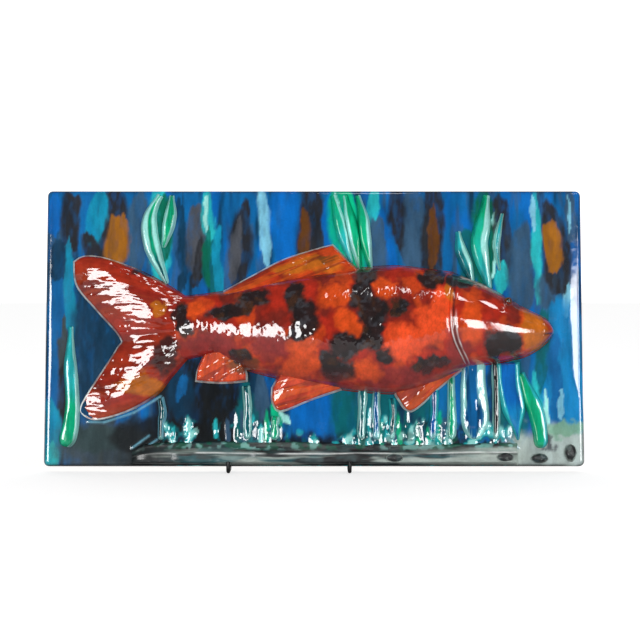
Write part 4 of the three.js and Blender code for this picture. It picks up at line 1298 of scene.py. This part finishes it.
def make_bed():
    """The ledge: a lip above the middle of its face, with a painted highlight along its crest and painted
    shade below that, and growth on the slope behind the lip.
    """
    s, t = spaced(330, 0.2), spaced(56, 0.5)
    places = edged_patch(BED_LOWER, BED_UPPER, s, t)
    u, v = places[..., 0], places[..., 1]
    s, t = s[:, None], t[None, :]
    lip = BED_LIP + BED_LIP_SWAY * (noise(u, v, (30, 400), 1301) - 0.5)
    profile = np.where(t < lip, 1, 1 - round_end(t - lip, 1 - BED_LIP))
    height = mix(RIM_HEIGHT, BED_DEPTH, profile * round_end(s, 0.05)) - BED_SETTLE
    height = height + BED_LUMPS * wander(u, v, (14, 5), 1311) + BED_GRAIN * (noise(u, v, (4, 2), 1317) - 0.5)
    height = np.minimum(height, BED_DEPTH) * round_end(rim_distance(places), BED_ROUNDING)
    height = mix(-SLIP_SEAM, height, round_end(s, 0.014) * round_end(1 - s, 0.04))
    pale = ramp(fractal(u, v, (22, 3), 1331) + 0.22 * s - 0.08, 0.48, 0.68)
    growth = ramp(t - lip, 0.08, 0.3)
    bare_end = ramp(s - 0.1 * growth + 0.25 * wander(u, v, (20, 4), 1381), 0.8, 0.98)
    broken_lip_lines = ramp(noise(u, v, (12, 4), 1351), 0.2, 0.5)
    paint = layered(
        INK,
        (MOSS, patches(u, v, (9, 5), 1321, 0.35, 0.6)),
        (STONE_GREY, pale * mix(0.75, 0.3, ramp(t - lip, 0, 0.1))),
        (TEAL, 0.5 * patches(u, v, (18, 3), 1341, 0.55, 0.68)),
        (INK, 0.6 * growth),
        (DEEP_GREEN, 0.6 * growth * patches(u, v, 5, 1361, 0.48, 0.58)),
        (MINT, 0.35 * growth * patches(u, v, 4, 1371, 0.58, 0.68)),
        (STONE_GREY, 0.92 * bare_end),
        # painted highlight along the lip's crest, in broken lengths
        (WHITE, 0.85 * ridge(t - lip + 0.02, 0.035) * broken_lip_lines),
        # painted shade just below the crest, in the same broken lengths
        (INK, 0.7 * ridge(t - lip + 0.11, 0.05) * broken_lip_lines),
        (INK, 0.85 * fade(s, 0.02, 0.16)),
    )
    relief("river_bed", "bed_glaze", BED, places, height, paint)


# Pebbles: place across and up in percent, half sizes across and up, and the depth of what they lie on.
ON_BED = BED_DEPTH + SLIP_SEAM
STONES = [
    (47.3, 4.8, 3.6, 5.4, 0), (41.6, 2.8, 5.2, 2.9, 0),
    (35.2, 3.2, 5.2, 2.6, ON_BED), (14.8, 2.9, 5, 2.4, ON_BED),
]


def make_stone(node, across, up, half_width, half_height, under, seed):
    """A flattened pebble: a dome of rings, a little lumpy, on a flat base."""
    rings, sides = 24, 64
    tall = STONE_HEIGHT / 2 if under else STONE_HEIGHT
    tilts = np.linspace(0.02, math.pi / 2, rings)
    x, y, z = ball(tilts, sides)
    lump = 0.88 + 0.12 * noise(3 * x, 3 * y, 1.4, seed)
    middle_u, middle_v = percent((across, up))
    u = middle_u + half_width * lump * x
    v = middle_v + half_height * lump * y
    out = FACE + under + tall * lump * z
    out[-2:] -= STONE_SINK
    points = on_plaque(u, v, out).reshape(-1, 3)
    faces = lofted(points, sides)
    paint = layered(
        INK,
        (MOSS, patches(u, v, 3, seed + 1, 0.4, 0.7)),
        (STONE_GREY, 0.15 * patches(u, v, 2, seed + 2, 0.55, 0.75)),
        (STONE_GREY, 0.55 * ramp(tilts[:, None] + 0.5 * wander(u, v, 2.5, seed + 3), 0.85, 1.4)),
    )
    piece = mesh_object(f"glazed_{node}", points, faces, [STONE], paint.reshape(-1, 3), flat=[len(faces) - 1])
    dress(piece, "plaque", "stone_glaze", node)


make_bed()
for k, stone in enumerate(STONES):
    make_stone(f"stone_{k + 1}", *stone, 1400 + 10 * k)


# Easel

PIN = np.array(joints["leg_fold"]["pos_m"], float)
REST_HEIGHT = 2 * WIRE_RADIUS + CLEARANCE
PIN_ON_FRAME = np.array([
    0,
    HINGE_HEIGHT * math.sin(LEAN) + HINGE_SETBACK * math.cos(LEAN),
    REST_HEIGHT + HINGE_HEIGHT * math.cos(LEAN) - HINGE_SETBACK * math.sin(LEAN),
])
HALF_PRONGS = PRONG_SPACING / 2
FRAME_BACK = WIRE_RADIUS + CLEARANCE
ROD_BACK = FRAME_BACK + 2 * WIRE_RADIUS + CLEARANCE
LIP_FRONT = -(FACE + BED_DEPTH) * math.cos(LEAN) - CLEARANCE - WIRE_RADIUS
HOLE_RADIUS = WIRE_RADIUS + CLEARANCE
EAR_INSIDE = HALF_PRONGS - WIRE_RADIUS - CLEARANCE - EAR_THICKNESS
EAR_OUTSIDE = EAR_INSIDE + EAR_THICKNESS
LEG_BEHIND_PIN = HOLE_RADIUS + WIRE_RADIUS / math.cos(math.pi / WIRE_FACETS)


def on_easel(point):
    """A frame point of millimetres from the middle of the slab's back bottom edge, before its lean."""
    return PIN + MM * (np.array(point, float) - PIN_ON_FRAME)


def on_frame(across, up, back):
    """A frame point of millimetres up the lean from the slab's bottom edge, and backwards from its back."""
    return PIN + MM * (across * ACROSS + (up - HINGE_HEIGHT) * UP - (back - HINGE_SETBACK) * OUT)


def bent_path(corners, radius, steps=12):
    """Straight runs between corners, each corner bent to an arc."""
    corners = [Vector(corner) for corner in corners]
    path = [corners[0]]
    for before, corner, after in zip(corners, corners[1:], corners[2:]):
        into, out = (corner - before).normalized(), (after - corner).normalized()
        turn = into.angle(out)
        begin = corner - into * radius * math.tan(turn / 2)
        inward = (out - into * into.dot(out)).normalized()
        centre = begin + inward * radius
        for i in range(steps + 1):
            angle = turn * i / steps
            path.append(centre + (into * math.sin(angle) - inward * math.cos(angle)) * radius)
    return path + [corners[-1]]


def tube(path, sides=24):
    """Points and faces of a round wire with softly rounded ends."""
    path = [Vector(point) for point in path]
    radius = WIRE_RADIUS * MM
    tangent, back = (path[1] - path[0]).normalized(), (path[-2] - path[-1]).normalized()
    stations = [(path[0] + tangent * radius * at, share) for at, share in WIRE_TIP]
    stations += [(point, 1.0) for point in path[1:-1]]
    stations += [(path[-1] + back * radius * at, share) for at, share in reversed(WIRE_TIP)]
    normal = tangent.orthogonal().normalized()
    points = []
    for k, (point, share) in enumerate(stations):
        before = stations[max(k - 1, 0)][0]
        after = stations[min(k + 1, len(stations) - 1)][0]
        heading = (after - before).normalized()
        normal = (tangent.rotation_difference(heading) @ normal).normalized()
        tangent = heading
        side = tangent.cross(normal)
        for angle in around(sides):
            points.append(point + (normal * math.cos(angle) + side * math.sin(angle)) * radius * share)
    return np.array(points), lofted(points, sides, turned=True)


def lathe(profile, middle, closed, sides=36):
    """Points and faces of a profile of (radius, across) turned about the across direction."""
    turn = around(sides)
    radius, across = np.array(profile, float).T[..., None]
    points = middle + MM * directed(across + 0 * turn, radius * np.cos(turn), radius * np.sin(turn))
    return points.reshape(-1, 3), lofted(points.reshape(-1, 3), sides, closed)


def weld(middle, radii, rings=10, sides=20):
    """Points and faces of a small rounded weld: radii across, up the lean and out."""
    up, out, across = ball(np.linspace(0.05, math.pi - 0.05, rings), sides)
    points = middle + MM * directed(radii[0] * across, radii[1] * up, radii[2] * out)
    points = points.reshape(-1, 3)
    return points, lofted(points, sides, turned=True)


def wire_piece(node, body, *forms):
    """Joins forms, each its points and faces, in one piece of painted wire."""
    points, faces = [], []
    for form_points, form_faces in forms:
        start = sum(map(len, points))
        faces += [[start + index for index in face] for face in form_faces]
        points.append(form_points)
    piece = mesh_object(f"painted_{node}", np.vstack(points), faces, [BLACK_WIRE])
    dress(piece, body, "black_wire", node)


def frame_wire():
    """One bent wire: a lip, a prong and a side, an arch over the top, and the same down the other side."""
    heel = (WIRE_RADIUS - REST_HEIGHT + FRAME_BACK * math.sin(LEAN)) / math.cos(LEAN)
    heel_back = heel * math.sin(LEAN) + FRAME_BACK * math.cos(LEAN)

    def side(across):
        bends = [(LIP_FRONT, LIP_HEIGHT), (LIP_FRONT, WIRE_RADIUS), (heel_back, WIRE_RADIUS)]
        corners = [on_easel((across, *bend)) for bend in bends]
        return bent_path(corners + [on_frame(across, FRAME_STRAIGHT, FRAME_BACK)], WIRE_BEND_RADIUS * MM)

    arch = []
    for k in range(1, ARCH_STEPS):
        angle = math.pi * (1 - k / ARCH_STEPS)
        up = FRAME_STRAIGHT + HALF_PRONGS * math.sin(angle)
        arch.append(Vector(on_frame(HALF_PRONGS * math.cos(angle), up, FRAME_BACK)))
    wire_piece("easel_frame", "easel", tube(side(-HALF_PRONGS) + arch + side(HALF_PRONGS)[::-1]))


def cross_rod(node, up):
    """A rod behind the side wires, with a weld at each."""
    reach = HALF_PRONGS + WIRE_RADIUS
    rod = tube([on_frame(x, up, ROD_BACK) for x in np.linspace(-reach, reach, 9)])
    between = (FRAME_BACK + ROD_BACK) / 2
    welds = [weld(on_frame(x, up, between), ROD_WELD) for x in (-HALF_PRONGS, HALF_PRONGS)]
    wire_piece(node, "easel", rod, *welds)


def stop_rod_height():
    """How far up the frame the open leg's tails meet the back of a cross rod."""
    opening = LEAN + math.radians(LEG_DEGREES)
    gap = LEG_BEHIND_PIN - REST_HEIGHT
    along = (HINGE_SETBACK + gap * math.cos(opening) - ROD_BACK) / math.sin(opening)
    return HINGE_HEIGHT + gap * math.sin(opening) + along * math.cos(opening)


def hinge_ear(node, side):
    """A stamped plate with softened edges, a hole for the pin, and a weld to the side wire."""
    front = FRAME_BACK - WIRE_RADIUS
    half = EAR_WIDTH / 2
    turns = np.linspace(-math.pi / 2, math.pi / 2, 25)
    arc = [(HINGE_SETBACK + half * math.cos(turn), half * math.sin(turn)) for turn in turns]
    outer = np.array(arc + [(front, half), (front, -half)])
    turns = np.linspace(-math.pi / 2, 1.5 * math.pi, len(outer), endpoint=False)
    hole = np.stack([HINGE_SETBACK + HOLE_RADIUS * np.cos(turns), HOLE_RADIUS * np.sin(turns)], axis=1)
    inset = outer - EAR_SOFTNESS * outward(outer)
    widened = hole + EAR_SOFTNESS * outward(hole)
    thick = EAR_THICKNESS / 2
    flat = thick - EAR_SOFTNESS
    rings = [(hole, -flat), (hole, flat), (widened, thick), (inset, thick),
             (outer, flat), (outer, -flat), (inset, -thick), (widened, -thick)]
    middle = side * (EAR_INSIDE + thick)
    points = np.array([
        on_frame(middle + depth, HINGE_HEIGHT + up, back) for ring, depth in rings for back, up in ring
    ])
    plate = points, lofted(points, len(outer), closed=True)
    seam = on_frame(side * (EAR_OUTSIDE + EAR_WELD_OUT), HINGE_HEIGHT, FRAME_BACK)
    wire_piece(node, "easel", plate, weld(seam, EAR_WELD))


def hinge_pin():
    """A pin with a rounded head outside each ear."""
    right = [(radius, EAR_OUTSIDE + CLEARANCE + along) for radius, along in PIN_HEAD]
    left = [(radius, -across) for radius, across in reversed(right)]
    wire_piece("hinge_pin", "easel", lathe(left + right, PIN, closed=False))


def rear_leg():
    """A loop of wire whose tails reach the stop rod, with a sleeve on each side that turns on the pin."""
    angle = math.radians(LEG_DEGREES)
    down = np.array([0, math.sin(angle), -math.cos(angle)])
    behind = np.array([0, math.cos(angle), math.sin(angle)])
    half = LEG_SPACING / 2
    top = PIN + MM * LEG_BEHIND_PIN * behind
    foot = (top[2] / MM - WIRE_RADIUS) / math.cos(angle)
    corners = [(-half, -LEG_TAIL), (-half, foot), (half, foot), (half, -LEG_TAIL)]
    corners = [top + MM * (across * ACROSS + below * down) for across, below in corners]
    loop = tube(bent_path(corners, LEG_BEND_RADIUS * MM))
    outside = HOLE_RADIUS + EYE_SLEEVE_WALL
    end = EYE_SLEEVE_LENGTH / 2
    shoulder, flat = outside - EYE_SLEEVE_SOFTNESS, end - EYE_SLEEVE_SOFTNESS
    profile = [
        (HOLE_RADIUS, -end), (shoulder, -end), (outside, -flat),
        (outside, flat), (shoulder, end), (HOLE_RADIUS, end),
    ]
    sleeves = [lathe(profile, PIN + MM * x * ACROSS, closed=True) for x in (-half, half)]
    wire_piece("rear_leg", "rear_leg", loop, *sleeves)


frame_wire()
cross_rod("brace_rod", BRACE_HEIGHT)
cross_rod("stop_rod", stop_rod_height())
hinge_ear("hinge_ear_left", -1)
hinge_ear("hinge_ear_right", 1)
hinge_pin()
rear_leg()


# Stage, light and camera


def seen_white(nodes):
    """1 where the camera, clear glass or a reflection looks past the plaque at the white surround, else 0."""
    behind = nodes.ranged(nodes.backwards(), 0, 1, (0.3, 0.9))
    total = nodes.maths("MULTIPLY", behind, nodes.add("LightPath", "Is Glossy Ray"))
    for name in ("Is Camera Ray", "Is Transmission Ray"):
        total = nodes.maths("MAXIMUM", total, nodes.add("LightPath", name))
    return total


def make_floor():
    """A wide pale disc, lifted to white where it is seen as part of the surround."""
    bpy.ops.mesh.primitive_circle_add(
        vertices=96, radius=FLOOR_RADIUS, fill_type="NGON", location=(0, 0, -FLOOR_DROP)
    )
    floor = bpy.context.object
    floor.name = "floor"
    material = bpy.data.materials.new("floor_white")
    nodes = Nodes(material, "NewGeometry", "Position")
    lift = nodes.ranged(seen_white(nodes), 0, FLOOR_LIFT, (0, 1))
    matte = nodes.add("BsdfDiffuse", 0, {"Color": FLOOR_GREY})
    glow = nodes.add("Emission", 0, {"Strength": lift})
    both = nodes.add("AddShader", 0, {0: matte, 1: glow})
    nodes.feed(nodes.tree.nodes["Material Output"], {"Surface": both})
    floor.data.materials.append(material)


def make_world():
    """White as the surround is seen and as it lights the back; in front a dim room, dimmer in the glaze."""
    world = bpy.data.worlds.new("studio")
    bpy.context.scene.world = world
    nodes = Nodes(world, output="Generated")
    glossy = nodes.add("LightPath", "Is Glossy Ray")
    room = nodes.ranged(nodes.backwards(), FRONT_LEVEL, REAR_LEVEL, (0, 0.6))
    room = nodes.add("Mix", "Result", {"Factor": glossy, "A": room, "B": MIRRORED_ROOM_LEVEL})
    strength = nodes.maths("MAXIMUM", room, seen_white(nodes))
    nodes.feed(nodes.tree.nodes["Background"], {"Color": (1, 1, 1, 1), "Strength": strength})


def aimed(name, data, target, azimuth, elevation, distance):
    """A lamp or camera that looks at the target from degrees round, degrees up and metres away."""
    turn, rise = math.radians(azimuth), math.radians(elevation)
    away = Vector((math.sin(turn) * math.cos(rise), -math.cos(turn) * math.cos(rise), math.sin(rise)))
    holder = bpy.data.objects.new(name, data)
    bpy.context.scene.collection.objects.link(holder)
    holder.location = Vector(target) + away * distance
    holder.rotation_mode = "QUATERNION"
    holder.rotation_quaternion = away.to_track_quat("Z", "Y")
    return holder


def make_window(name, azimuth, elevation, size, radiance):
    """A soft rectangular lamp that faces the plaque and doesn't show to the camera."""
    lamp = bpy.data.lights.new(name, "AREA")
    lamp.shape = "RECTANGLE"
    lamp.size, lamp.size_y = size
    lamp.energy = radiance * math.pi * size[0] * size[1]
    window = aimed(name, lamp, TILE_MIDDLE, azimuth, elevation, WINDOW_DISTANCE)
    window.visible_camera = False


def make_camera():
    view = bpy.data.cameras.new("camera")
    view.lens = CAMERA_LENS
    view.sensor_width = CAMERA_SENSOR
    view.shift_x, view.shift_y = CAMERA_SHIFT
    view.clip_start, view.clip_end = CAMERA_CLIP
    bpy.context.scene.camera = aimed("camera", view, CAMERA_TARGET, 0, CAMERA_ELEVATION, CAMERA_DISTANCE)


make_floor()
make_world()
for window_name, window_plan in WINDOWS.items():
    make_window(window_name, *window_plan)
make_camera()
bpy.context.scene.view_settings.view_transform = "Standard"
